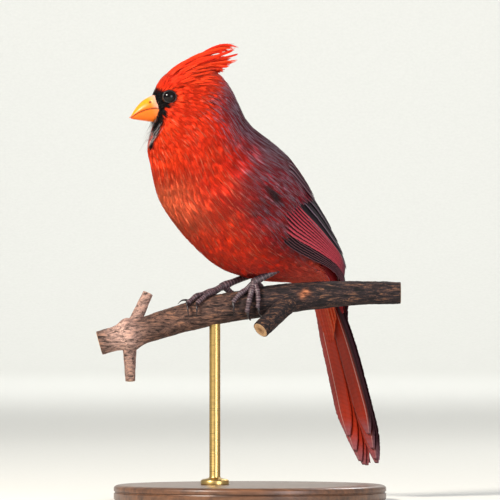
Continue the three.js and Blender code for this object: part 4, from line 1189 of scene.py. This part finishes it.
def make_eye(name, side):
    centre, out = eye_place(side)
    across, high = round_frame(out)
    tilt = np.linspace(0.02, math.pi - 0.02, 40)[:, None]
    turn = np.linspace(0, 2 * math.pi, 64, endpoint=False)[None, :]
    round_it = across * np.cos(turn)[..., None] + high * np.sin(turn)[..., None]
    ball = out * np.cos(tilt)[..., None] + round_it * np.sin(tilt)[..., None]
    bake = np.stack(np.broadcast_arrays(turn / (2 * math.pi), tilt / math.pi), -1)
    soup = Soup()
    add_loft(soup, centre + EYE_RADIUS * ball, linear("#0a0606"), bake)
    put("eye_" + name + "_ball", soup.mesh("eye_" + name), WET_EYE, "eye", "eye_" + name)
    make_eyelid(name, centre, out, across, high)


# Bill

BILL_PITCH = 19.6
BILL_REACH = 12.9
BILL_TOP = 6.1
BILL_BOTTOM = 6.7
BILL_BACK = -3.4
NOSTRIL = (2.2, 3.85, 3.9)  # ahead of the bill's origin, to its side and above it
NOSTRIL_RADIUS = 0.62
BILL_YELLOW = linear("#ff9d06")
BILL_ORANGE = linear("#f06400")
BILL_PALE = linear("#f4bda8")
BILL_RED = linear("#d8401c")


def bill_frame():
    """The bill's origin, and its ways forward, up and to the left."""
    at = np.array(float(AT["bill base"]))
    ahead, left = look_up(AHEAD, at), look_up(LEFT, at)
    c, s = math.cos(math.radians(BILL_PITCH)), math.sin(math.radians(BILL_PITCH))
    up = np.array([0, 0, 1.0])
    return look_up(MIDDLE, at) - up * 1.3, ahead * c - up * s, ahead * s + up * c, left


def mouth_line(f):
    """The height of the line between the bill's halves, which turns down at the gape."""
    t = clamp((f - 0.6) / (BILL_REACH - 0.6))
    ridge = 0.35 + 0.95 * np.sin(np.pi * t ** 0.9) - 0.5 * t ** 3
    return np.where(f < 0.6, mix(0.35, -3.7, clamp((0.6 - f) / 2.9)), ridge)


def nostril_seat(side):
    origin, forward, up, left = bill_frame()
    ahead, aside, above = NOSTRIL
    return origin + forward * ahead + left * side * aside + up * above


def make_bill(upper):
    origin, forward, up, left = bill_frame()
    count, sides = 96, 84
    f = mix(BILL_BACK, BILL_REACH if upper else BILL_REACH - 0.7, np.linspace(0, 1, count) ** 0.9)[:, None]
    share = clamp(f / BILL_REACH)
    line = mouth_line(f) + (0.14 if upper else -0.14)
    culmen = BILL_TOP * (1 - share ** 2.1) - 0.35 * share
    gonys = -BILL_BOTTOM * (1 - clamp((f + 0.2) / BILL_REACH)) ** 0.97 - 0.35
    edge = np.maximum(culmen, line + 0.3) if upper else np.minimum(gonys, line - 0.3)
    flare = 0.9 * np.exp(-((f + 2.4) / 1.6) ** 2)
    half = 0.35 + (4.9 if upper else 5.3) * (1 - share ** 1.25) ** 0.9 + flare
    turn = 2 * math.pi * np.arange(sides)[None, :] / sides
    rise = np.sin(turn)
    across = half * np.cos(turn) * np.where(rise > 0, 1 - 0.12 * rise, 1)
    high = np.where(rise > 0, line + (edge - line) * np.abs(rise) ** 0.9, line + (edge - line) * 0.02 * rise)
    rings = origin + f[..., None] * forward + across[..., None] * left + high[..., None] * up
    base = clamp(1 - (f - BILL_BACK) / 6.5)[..., None]
    ridge = clamp(np.abs(rise) * 1.1)[..., None] * (rise > 0)[..., None]
    body = mix(BILL_ORANGE, BILL_YELLOW, ridge if upper else 0.25 * clamp(1 - share)[..., None] + 0 * ridge)
    tints = mix(body, BILL_PALE, 0.95 * ease(base * 1.3) if upper else 0.3 * base)
    tints = mix(tints, BILL_RED, 0.3 * ease((share[..., None] - 0.82) / 0.18))
    # Painted shade in the crease along the mouth line between the bill's halves
    mouth_line_shade = (0.6 * np.exp(-((high - line) / 0.22) ** 2))[..., None]
    tints = mix(tints, BILL_RED * 0.35, mouth_line_shade * (share[..., None] < 0.98))
    if upper:
        for side in (-1, 1):
            # Painted shade: each nostril's pit is darkened as well as pressed in
            near = np.linalg.norm(rings - nostril_seat(side), axis=-1)[..., None]
            tints = mix(tints, linear("#240c08"), np.exp(-(near / NOSTRIL_RADIUS) ** 4))
            rings = rings - left * side * 0.7 * np.exp(-(near / 0.6) ** 2)
    soup = Soup()
    add_loft(soup, rings, tints, np.stack(np.broadcast_arrays(turn / 6.5, share), -1))
    name = "bill_upper" if upper else "bill_lower"
    put(name + "_horn", soup.mesh(name, sharp=50), BILL_HORN, "bill", name)


# Branch

BRANCH_HEIGHTS = [71.4, 76.2, 81.6, 86.2, 89.2, 91.8, 93.4, 94.2, 94.2]
BRANCH_RADII = [5.6, 6.1, 6.6, 7.0, 7.1, 7.0, 6.3, 5.6, 5.2]
JOINT_X = -55.0


JOINT_SWELL = 2.0
JOINT_RUN = 3.6


def along_branch(values, x):
    """A value at a place along the branch, through evenly spaced ones."""
    return through(values, (x + BRANCH_HALF) / (2 * BRANCH_HALF) * (len(values) - 1))


def branch_height(x):
    return along_branch(BRANCH_HEIGHTS, x)


def branch_radius(x):
    return along_branch(BRANCH_RADII, x) + JOINT_SWELL * np.exp(-(((x - JOINT_X) / JOINT_RUN) ** 2))


def branch_point(x, angle, over):
    """A point over the bark. The angle runs from the top, 0, to the side facing the camera, 90."""
    x, angle, over = np.broadcast_arrays(*(np.asarray(v, float) for v in (x, angle, over)))
    slope = branch_height(x + 0.5) - branch_height(x - 0.5)
    up = unit(np.stack([-slope, 0 * x, 0 * x + 1], -1))
    reach = branch_radius(x) + over
    turn = np.radians(angle)
    middle = np.stack([x, 0 * x, branch_height(x)], -1)
    rise, forth = reach * np.cos(turn), reach * np.sin(turn)
    return middle + up * rise[..., None] - np.array([0, 1, 0]) * forth[..., None]


def bark_relief(x, angle):
    """Ridges and shallow cracks along the branch, never above the toes' level."""
    turn = np.radians(angle)
    long_ridge = np.sin(5 * turn + 0.13 * x + 1.2 * np.sin(0.21 * x)) * np.cos(3 * turn - 0.09 * x)
    fine = np.sin(13 * turn + 0.5 * np.sin(0.9 * x)) * np.sin(0.8 * x + 2 * np.sin(2 * turn))
    finer = np.sin(23 * turn + 1.1 * x) * np.sin(1.9 * x + 3 * turn)
    return -0.28 + 0.16 * long_ridge + 0.09 * fine + 0.05 * finer


def bark_tint(x):
    """Dark brown, redder and lighter towards the ringed joint, with a pale rubbed band there."""
    colour = mix(BARK_DARK, BARK_BROWN, ease((10 - x) / 40)[..., None])
    pale = np.exp(-(((x - JOINT_X + 3) / 7.0) ** 2))[..., None]
    return mix(colour, BARK_PALE, 0.75 * pale)


JOINT = np.array([JOINT_X, 0, float(branch_height(np.array(JOINT_X)))])
UP_TWIG = np.array([8.6, 1.5, 19])
DOWN_TWIG = np.array([0.6, -2, -21])
SIDE_TWIG = np.array([-15.2, -12, -15])
TWIG_SIDES = 28
SCAR_X = 25.0


def add_twig(soup, start, end, thick, thin, cell, tint):
    """A short cut twig with a swollen foot."""
    t = np.linspace(0, 1, 40)[:, None]
    route = mix(np.array(start, float), np.array(end, float), t)
    turn = 2 * math.pi * np.arange(TWIG_SIDES)[None, :] / TWIG_SIDES
    knots = 0.12 * np.sin(5 * turn + 9 * t) * np.sin(14 * t + 2 * turn)
    radius = mix(thick, thin, t) + 0.5 * np.exp(-((t / 0.3) ** 2)) + knots
    add_loft(soup, tube_rings(route, radius, TWIG_SIDES), tint, bake_cell(cell, 2, turn / ROUND, 0.97 * t))


def make_branch():
    soup = Soup()
    x = np.linspace(-BRANCH_HALF, BRANCH_HALF, 360)[:, None]
    angle = np.linspace(0, 360, 96, endpoint=False)[None, :]
    rings = branch_point(x, angle, bark_relief(x, angle))
    x, angle = np.broadcast_arrays(x, angle)
    ragged = 0.8 * np.sin(1.7 * x + 0.2 * angle) + 6 * np.sin(0.9 * x)
    scar = np.exp(-(((x - SCAR_X) / 2.0) ** 2) - (((angle - 78 - ragged) / 15.0) ** 2))[..., None]
    tints = mix(bark_tint(x), linear("#94583a"), 0.75 * clamp(1.3 * scar))
    add_loft(soup, rings, tints, bake_cell(0, 2, angle / 360, (x + BRANCH_HALF) / (2 * BRANCH_HALF)))
    add_twig(soup, JOINT, JOINT + UP_TWIG, 3.2, 2.3, 1, mix(BARK_BROWN, BARK_PALE, 0.5))
    add_twig(soup, JOINT, JOINT + DOWN_TWIG, 3.4, 2.2, 2, mix(BARK_BROWN, BARK_PALE, 0.3))
    # Painted shade: the twig at the front is made nearly black, as it lies in shade
    add_twig(soup, (20, -1, 92.5), (4.8, -13, 77.5), 4.6, 4.0, 3, BARK_DARK * 0.8)
    put("branch", soup.mesh("branch", sharp=60), BARK, "bark", "perch")


def branch_end(side):
    """The middle of a sawn end of the branch, a hair outside the bark."""
    return np.array([side * (BRANCH_HALF + 0.05), 0, float(branch_height(np.array(side * BRANCH_HALF)))])


def make_cut_ends():
    """Sawn ends: pale wood with a darker pith, set just inside the bark's rim."""
    soup = Soup()
    ends = [
        (branch_end(-1), np.array([-1.0, 0, -0.28]), 5.0),
        (branch_end(1), np.array([1.0, 0, 0.0]), 4.7),
        (JOINT + UP_TWIG + np.array([0.02, 0, 0.05]), UP_TWIG, 1.9),
        (JOINT + DOWN_TWIG - np.array([0, 0, 0.05]), DOWN_TWIG, 1.8),
        (np.array([4.76, -13.04, 77.45]), SIDE_TWIG, 3.6),
    ]
    for k, (centre, axis, radius) in enumerate(ends):
        axis = unit(axis)
        across = unit(np.cross(axis, np.array([0.2, 1.0, 0.1])))
        high = np.cross(axis, across)
        reach = np.linspace(0.08, 1, 14)[:, None] * radius
        turn = np.linspace(0, 2 * math.pi, 40, endpoint=False)[None, :]
        ripple = 0.04 * np.sin(reach * 9)
        spoke = across * np.cos(turn)[..., None] + high * np.sin(turn)[..., None]
        front = centre + spoke * reach[..., None] + axis * (0.06 + ripple)[..., None]
        back = centre + spoke[::-1] * reach[::-1][..., None] - axis * 0.5
        rings = np.concatenate([front, back])
        shade = (0.8 + 0.2 * np.sin(reach * 9))[..., None]
        wood = mix(linear("#7a5536"), linear("#c8a27a"), clamp(1.3 * reach / radius)[..., None]) * shade
        tints = np.broadcast_to(np.concatenate([wood, wood[::-1]]), rings.shape)
        bake = bake_cell(k, 3, turn / ROUND, reach / radius * 0.5)
        add_loft(soup, rings, tints, np.concatenate([bake, bake[::-1]]))
    put("branch_cut_ends", soup.mesh("branch_cut_ends", sharp=50), SAWN_WOOD, "bark")


# Legs and feet

FEET_AT = {"left": (3.6, 24.0, 1.5), "right": (-10.6, -20.0, 1.5)}
HEELS = {"left": np.array([24.0, 2.6, 109.4]), "right": np.array([8.6, 18.4, 104.6])}
LEG_DARK = linear("#3a2a30")
LEG_EDGE = linear("#7a6468")
CLAW_DARK = linear("#1c1416")
TOES = {
    "left": [
        dict(bend=(0.5, 60), tip=(-1.8, 112), thick=1.25, knuckles=3, claw=5, claw_tip=(-0.6, 158)),
        dict(bend=(-4, 44), tip=(-7.2, 76), thick=1.15, knuckles=2, claw=4, claw_tip=(-8.0, 122)),
        dict(bend=(5, 62), tip=(3.2, 104), thick=1.1, knuckles=3, claw=4, claw_tip=(4.4, 148)),
        dict(bend=(5.4, -30), tip=(7.6, -72), thick=1.35, knuckles=1.5, claw=6, claw_tip=(8.4, -128)),
    ],
    "right": [
        dict(bend=(-21, -8), tip=(-26.6, 42), thick=1.25, knuckles=3, claw=5, claw_tip=(-28.0, 92)),
        dict(bend=(-17, 18), tip=(-22.6, 52), thick=1.15, knuckles=2, claw=4, claw_tip=(-24.6, 100)),
        dict(bend=(-18, -30), tip=(-25.6, -34), thick=1.1, knuckles=3, claw=4, claw_tip=(-31.0, -14)),
        dict(bend=(-6, -46), tip=(-4.4, -84), thick=1.35, knuckles=1.5, claw=6, claw_tip=(-4.6, -138)),
    ],
}


def plated(run, pitch):
    """Overlapping plates along a toe or leg: a slow rise that drops at each plate's end, and their edges."""
    phase = (run / pitch) % 1.0
    return 0.09 * phase, phase > 0.8


LEG_CELL = 8


def add_scaly_tube(soup, route, radius, sides, pitch, cell):
    """A tube with plates across it, each with a lighter edge."""
    run = np.concatenate([[0], np.cumsum(np.linalg.norm(np.diff(route, axis=0), axis=1))])
    rise, edge = plated(run, pitch)
    tint = np.where(edge[:, None], LEG_EDGE, LEG_DARK)[:, None]
    bake = bake_cell(cell, 3, np.arange(sides)[None, :] / sides, (run / run[-1])[:, None])
    add_loft(soup, tube_rings(route, radius + rise, sides), tint, bake)


def add_toe(foot, start, lift, toe, cell):
    """A toe over the bark, from its start at a place along the branch and an angle round it."""
    t = np.linspace(0, 1, 60)
    x, angle = (bent(start[i], toe["bend"][i], toe["tip"][i], t) for i in (0, 1))
    radius = toe["thick"] * (mix(1.12, 0.82, t) + 0.09 * np.cos(2 * math.pi * toe["knuckles"] * t))
    over = radius + GAP * 0.5 + lift * (1 - ease(t / 0.4))
    add_scaly_tube(foot, branch_point(x, angle, over), radius, 22, 1.15, cell)


def add_claw(claws, toe, cell):
    """A claw arched over the bark to its point."""
    u = np.linspace(0, 1, 26)
    along = mix(-0.12, 1, u)
    thick = mix(0.8 * toe["thick"], 0.07, u ** 0.8)
    arch = toe["claw"] * np.sin(math.pi * clamp(along)) * 0.32
    x, angle = (mix(toe["tip"][i], toe["claw_tip"][i], along) for i in (0, 1))
    rings = tube_rings(branch_point(x, angle, thick + 0.25 + arch), thick, 16)
    bake = bake_cell(cell, 2, np.arange(16)[None, :] / 16, u[:, None])
    add_loft(claws, rings, CLAW_DARK * mix(1.6, 0.9, u)[:, None, None], bake)


def make_foot(name):
    x, angle, lift = FEET_AT[name]
    foot, claws = Soup(), Soup()
    for k, toe in enumerate(TOES[name]):
        add_toe(foot, (x, angle), lift, toe, k)
        add_claw(claws, toe, k)
    low = branch_point(x, angle, 2.0 + lift)
    t = np.linspace(-0.04, 0.75, 90)[:, None]
    route = mix(low, HEELS[name], t) + np.array([0, 0, 0.5]) * np.sin(math.pi * clamp(t))
    radius = np.interp(t[:, 0], [-0.04, 0.06, 0.2, 0.75], [1.7, 1.9, 1.45, 1.4])
    add_scaly_tube(foot, route, radius, 26, 1.7, LEG_CELL)
    mesh = foot.mesh("foot_" + name)
    put("foot_" + name + "_plates", mesh, LEG_SKIN, "leg_skin", "foot_" + name, "leg_" + name)
    put("claws_" + name, claws.mesh("claws_" + name), CLAW_HORN, "leg_skin")


# The body's coat

# How far the coat's roots, middles and tips stay from a point in front of each eye
ROOT_CLEAR = 2.9
MIDDLE_CLEAR = 2.8
TIP_CLEAR = 2.75
CLEAR_OUT = 1.9


def clear_of_eyes(points, reach):
    """Whether points stay out of both eyes' openings."""
    clear = np.ones(points.shape[:-1], bool)
    for side in (-1, 1):
        centre, out = eye_place(side)
        clear &= np.linalg.norm(points - (centre + out * CLEAR_OUT), axis=-1) > reach
    return clear


# Soft feathers cover the front of the folded wing down to these distances, by the angle from the back
SOFT_TURN = [0, 22, 30, 44, 60, 84, 96, 102, 106, 110]
SOFT_END = [200, 60, 46, 34, 28, 25, 27, 36, 60, 200]

# How high the soft feathers rise over the folded wing, by the distance behind the wrist
COVER_DISTANCE = [-14, -6, 1, 10, 18, 32, 44, 54]
COVER_HEIGHT = [0.0, 0.4, 2.1, 3.6, 4.6, 4.8, 3.0, 0.0]


def plumage_ground(place, angle):
    """The plumage's height over the trunk, which rises over the front of the folded wing."""
    turn = turned_from_back(angle)
    over_wing = np.interp(behind_wrist(place), COVER_DISTANCE, COVER_HEIGHT)
    sides = ease((turn - 8) / 24) * ease((132 - turn) / 24)
    nape = 1.3 * np.exp(-(((place - 6.3) / 1.3) ** 2)) * ease((80 - turn) / 50)
    return over_wing * sides * (place > 7) + nape - gape_hollow(place, angle)


# The coat's pieces, each by the place along the spine where it begins
COAT_PIECES = {
    "face": 0, "cheeks": 4.0, "nape": 5.6, "throat": 6.9, "collar": 8.0, "shoulders": 9.0, "breast": 10.0,
    "belly": 11.2}
COAT_END = 16
COAT_TRIES = 110000


def root_spacing(place):
    return np.interp(place, [0, 1, 5, 7, 9, 13], [0.66, 0.76, 1.0, 1.3, 1.5, 1.45])


def in_coat(place, angle, points):
    """Whether a root belongs to the coat: off the eyes, and where the folded wing is under soft feathers."""
    soft_end = np.interp(turned_from_back(angle), SOFT_TURN, SOFT_END)
    return clear_of_eyes(points, ROOT_CLEAR) & (behind_wrist(place) < soft_end)


def make_coat():
    place, angle, points = scatter(0.1, 13.7, root_spacing, in_coat, COAT_TRIES)
    apart = root_spacing(place)
    length = apart * np.interp(place, [0, 2, 4, 7, 13], [2.8, 3.9, 5.0, 6.2, 6.4])
    length = length * rng.uniform(0.8, 1.2, len(place))
    half = apart * 0.85 * rng.uniform(0.85, 1.15, len(place))
    sway = 9 * patchy(points, 7.0) + rng.normal(0, 4, len(place))
    tip = trunk_point(place + length / 12, angle, 0.0)
    clear = clear_of_eyes(tip, TIP_CLEAR) & clear_of_eyes(0.5 * (tip + points), MIDDLE_CLEAR)
    place, angle, points, length, half, sway = (v[clear] for v in (place, angle, points, length, half, sway))
    tints = body_colour(place, angle, points)
    fringe, share = fringe_colour(place, angle, points)
    edges = [*COAT_PIECES.values(), COAT_END]
    for name, first, last in zip(COAT_PIECES, edges, edges[1:]):
        here = (place >= first) & (place < last)
        soup = Soup()
        lay_feathers(soup, place[here], angle[here], plumage_ground, length[here], half[here], sway[here],
                     tints[here], fringe[here], share[here])
        put("coat_" + name, soup.mesh("coat_" + name), BODY_PLUMAGE, "plumage_red")


BRISTLES = 210


def make_bristles():
    """Loose hair-like feathers round the bill's base and under the chin."""
    soup = Soup()
    _, forward, _, left = bill_frame()
    for i in range(BRISTLES):
        place = rng.uniform(0.3, 4.0)
        turn = rng.uniform(130, 230)
        start = trunk_point(place, turn, -0.6)
        normal = unit(trunk_point(place, turn, 1.0) - start)
        long_hair = i % 3 == 0 and place > 1.0
        reach = rng.uniform(4.0, 8.0) if long_hair else rng.uniform(1.8, 3.6)
        ahead = 0.9 if long_hair else 0.4
        go = unit(forward * ahead + normal * 0.8 + np.array([0, 0, -0.2]) + left * rng.normal(0, 0.2))
        middle = start + go * reach * 0.5
        end = start + go * reach + np.array([0, 0, -0.25 * reach])
        out = unit(np.cross(go, left + 0.1))
        side = np.cross(go, out)
        tone = mix(MASK_BLACK, linear("#cdc4c4"), long_hair * rng.uniform(0.3, 1.0))
        bake = trunk_bake(np.array(place), np.array(turn))
        add_barb(soup, start, middle, end, side, out, 0.075, tone, bake)
    put("chin_bristles", soup.mesh("chin_bristles"), BODY_PLUMAGE, "plumage_red")


# Stand

def turned(name, profile, sides, centre_x, material, slot, node, sharp):
    """A lathe-turned piece from its profile of (radius, height)."""
    profile = np.array(profile, float)
    turn = 2 * math.pi * np.arange(sides)[None, :] / sides
    radius, height = profile[:, :1], profile[:, 1:]
    rings = np.stack([centre_x + radius * np.cos(turn), radius * np.sin(turn), height + 0 * turn], -1)
    run = np.linspace(0, 1, len(profile))[:, None]
    soup = Soup()
    add_loft(soup, rings, np.ones(3), np.stack(np.broadcast_arrays(turn / ROUND, run), -1))
    put(name, soup.mesh(name, sharp=sharp), material, slot, node)


def make_stand():
    r, h = BASE_RADIUS, BASE_HEIGHT
    quarter = np.linspace(math.pi / 2, 0, 9)
    corner = [(r - 2.6 + 2.6 * math.sin(a), h - 1.6 + 1.6 * math.cos(a)) for a in quarter]
    foot = [(0.5, 0), (r - 1.2, 0), (r - 0.5, 0.15), (r - 0.12, 0.6), (r, 1.2)]
    groove = [(r, 3.2), (r - 0.5, 3.45), (r - 0.6, 3.7), (r - 0.5, 3.95), (r, 4.2)]
    top = [(r - 8, h), (20, h), (0.5, h)]
    turned("base_disc", foot + groove + corner + top, 160, 0, BASE_WOOD, "base_wood", "stand_base", 30)
    r = ROD_RADIUS
    bottom = BASE_HEIGHT + 0.02
    under = float(branch_height(np.array(ROD_X))) - float(branch_radius(np.array(ROD_X))) + 1.0
    flange = [
        (0.3, 0), (6.3, 0), (6.5, 0.2), (6.5, 1.6), (6.3, 2.0), (5.6, 2.5), (3.4, 2.9), (r + 0.2, 3.2),
        (r, 3.8)]
    rod = [(radius, bottom + rise) for radius, rise in flange] + [(r, under - 1), (r, under), (0.3, under)]
    turned("rod_and_flange", rod, 64, ROD_X, ROD_BRASS, "rod_metal", "stand_rod", 35)


# Studio: a pale sweep, soft lights and the photograph's view

PIXEL = 0.455  # millimetres of the subject for each pixel of the photograph
PHOTO_SIDE = 500
LENS = 600.0
SENSOR = 36.0


def make_camera():
    data = bpy.data.cameras.new("photo_view")
    data.lens = LENS
    data.sensor_width = SENSOR
    data.clip_end = 50
    camera = bpy.data.objects.new("photo_view", data)
    bpy.context.scene.collection.objects.link(camera)
    side = PIXEL * PHOTO_SIDE * MM
    camera.location = (0, -side * LENS / SENSOR, side / 2)
    camera.rotation_euler = (math.pi / 2, 0, 0)
    bpy.context.scene.camera = camera


FLOOR_NEAR = -5.0
FLOOR_FAR = 4.0
SWEEP_BEND = 1.0
SWEEP_HALF = 6.0
WALL_TOP = 4.0
FLOOR_BELOW = 0.0002


def make_sweep():
    """A pale paper floor that curves up far behind the stand, so that it hides no side of the model."""
    curve = [(FLOOR_FAR + SWEEP_BEND * math.sin(a), SWEEP_BEND * (1.0 - math.cos(a)))
             for a in np.linspace(0.1, math.pi / 2, 14)]
    profile = [(FLOOR_NEAR, 0.0), (FLOOR_FAR, 0.0), *curve, (FLOOR_FAR + SWEEP_BEND, WALL_TOP)]
    mesh = bpy.data.meshes.new("sweep")
    points = [(x, y, z - FLOOR_BELOW) for y, z in profile for x in (-SWEEP_HALF, SWEEP_HALF)]
    mesh.from_pydata(points, [], [(2 * i, 2 * i + 1, 2 * i + 3, 2 * i + 2) for i in range(len(profile) - 1)])
    mesh.polygons.foreach_set("use_smooth", [True] * (len(profile) - 1))
    sweep = bpy.data.objects.new("sweep", mesh)
    bpy.context.scene.collection.objects.link(sweep)
    material, tree, shader = new_material("backdrop_paper", Roughness=0.9)
    fibres = add_node(tree, "ShaderNodeTexNoise", {
        "Vector": object_scaled(tree, EVEN), "Scale": 1 / (3.0 * MM), "Detail": 3.0})
    ramp = add_node(tree, "ShaderNodeValToRGB", {"Fac": fibres.outputs["Fac"]})
    for stop, code in zip(ramp.color_ramp.elements, ("#dcdcd6", "#e6e6e0")):
        stop.color = (*linear(code), 1)
    tree.links.new(ramp.outputs["Color"], shader.inputs["Base Color"])
    mesh.materials.append(material)


def add_softbox(name, place, aim, size, power, colour):
    data = bpy.data.lights.new(name, "AREA")
    data.shape = "DISK"
    data.size = size
    data.energy = power
    data.color = linear(colour)
    light = bpy.data.objects.new(name, data)
    light.location = place
    light.rotation_euler = (Vector(aim) - Vector(place)).to_track_quat("-Z", "Y").to_euler()
    bpy.context.scene.collection.objects.link(light)


BIRD_AT = (0, 0, 0.14)

# Each soft light: where it stands and aims, its width in metres, its power in watts and its colour
SOFTBOXES = {
    "key_softbox": ((-1.0, -1.0, 1.0), BIRD_AT, 0.4, 38, "#fff6ea"),
    "fill_softbox": ((1.0, -1.5, 0.5), BIRD_AT, 1.0, 16, "#f6f6ff"),
    "rim_softbox": ((0.7, 1.2, 1.2), BIRD_AT, 0.5, 10, "#ffffff"),
    "backdrop_softbox": ((0, 2.9, 2.0), (0, 5, 0.3), 2.0, 42, "#ffffff"),
}


def make_lights():
    for name, settings in SOFTBOXES.items():
        add_softbox(name, *settings)
    world = bpy.data.worlds.new("studio")
    world.use_nodes = True
    world.node_tree.nodes["Background"].inputs["Color"].default_value = (*linear("#eef0f2"), 1)
    world.node_tree.nodes["Background"].inputs["Strength"].default_value = 0.5
    bpy.context.scene.world = world


make_camera()
make_lights()
make_sweep()
make_stand()
make_branch()
make_cut_ends()
make_skin()
make_coat()
make_bristles()
make_crest()
for side_name, side_sign in (("left", 1), ("right", -1)):
    make_wing(side_name, side_sign)
    make_eye(side_name, side_sign)
    make_foot(side_name)
make_tail()
make_bill(True)
make_bill(False)

bpy.context.scene.view_settings.view_transform = "Standard"
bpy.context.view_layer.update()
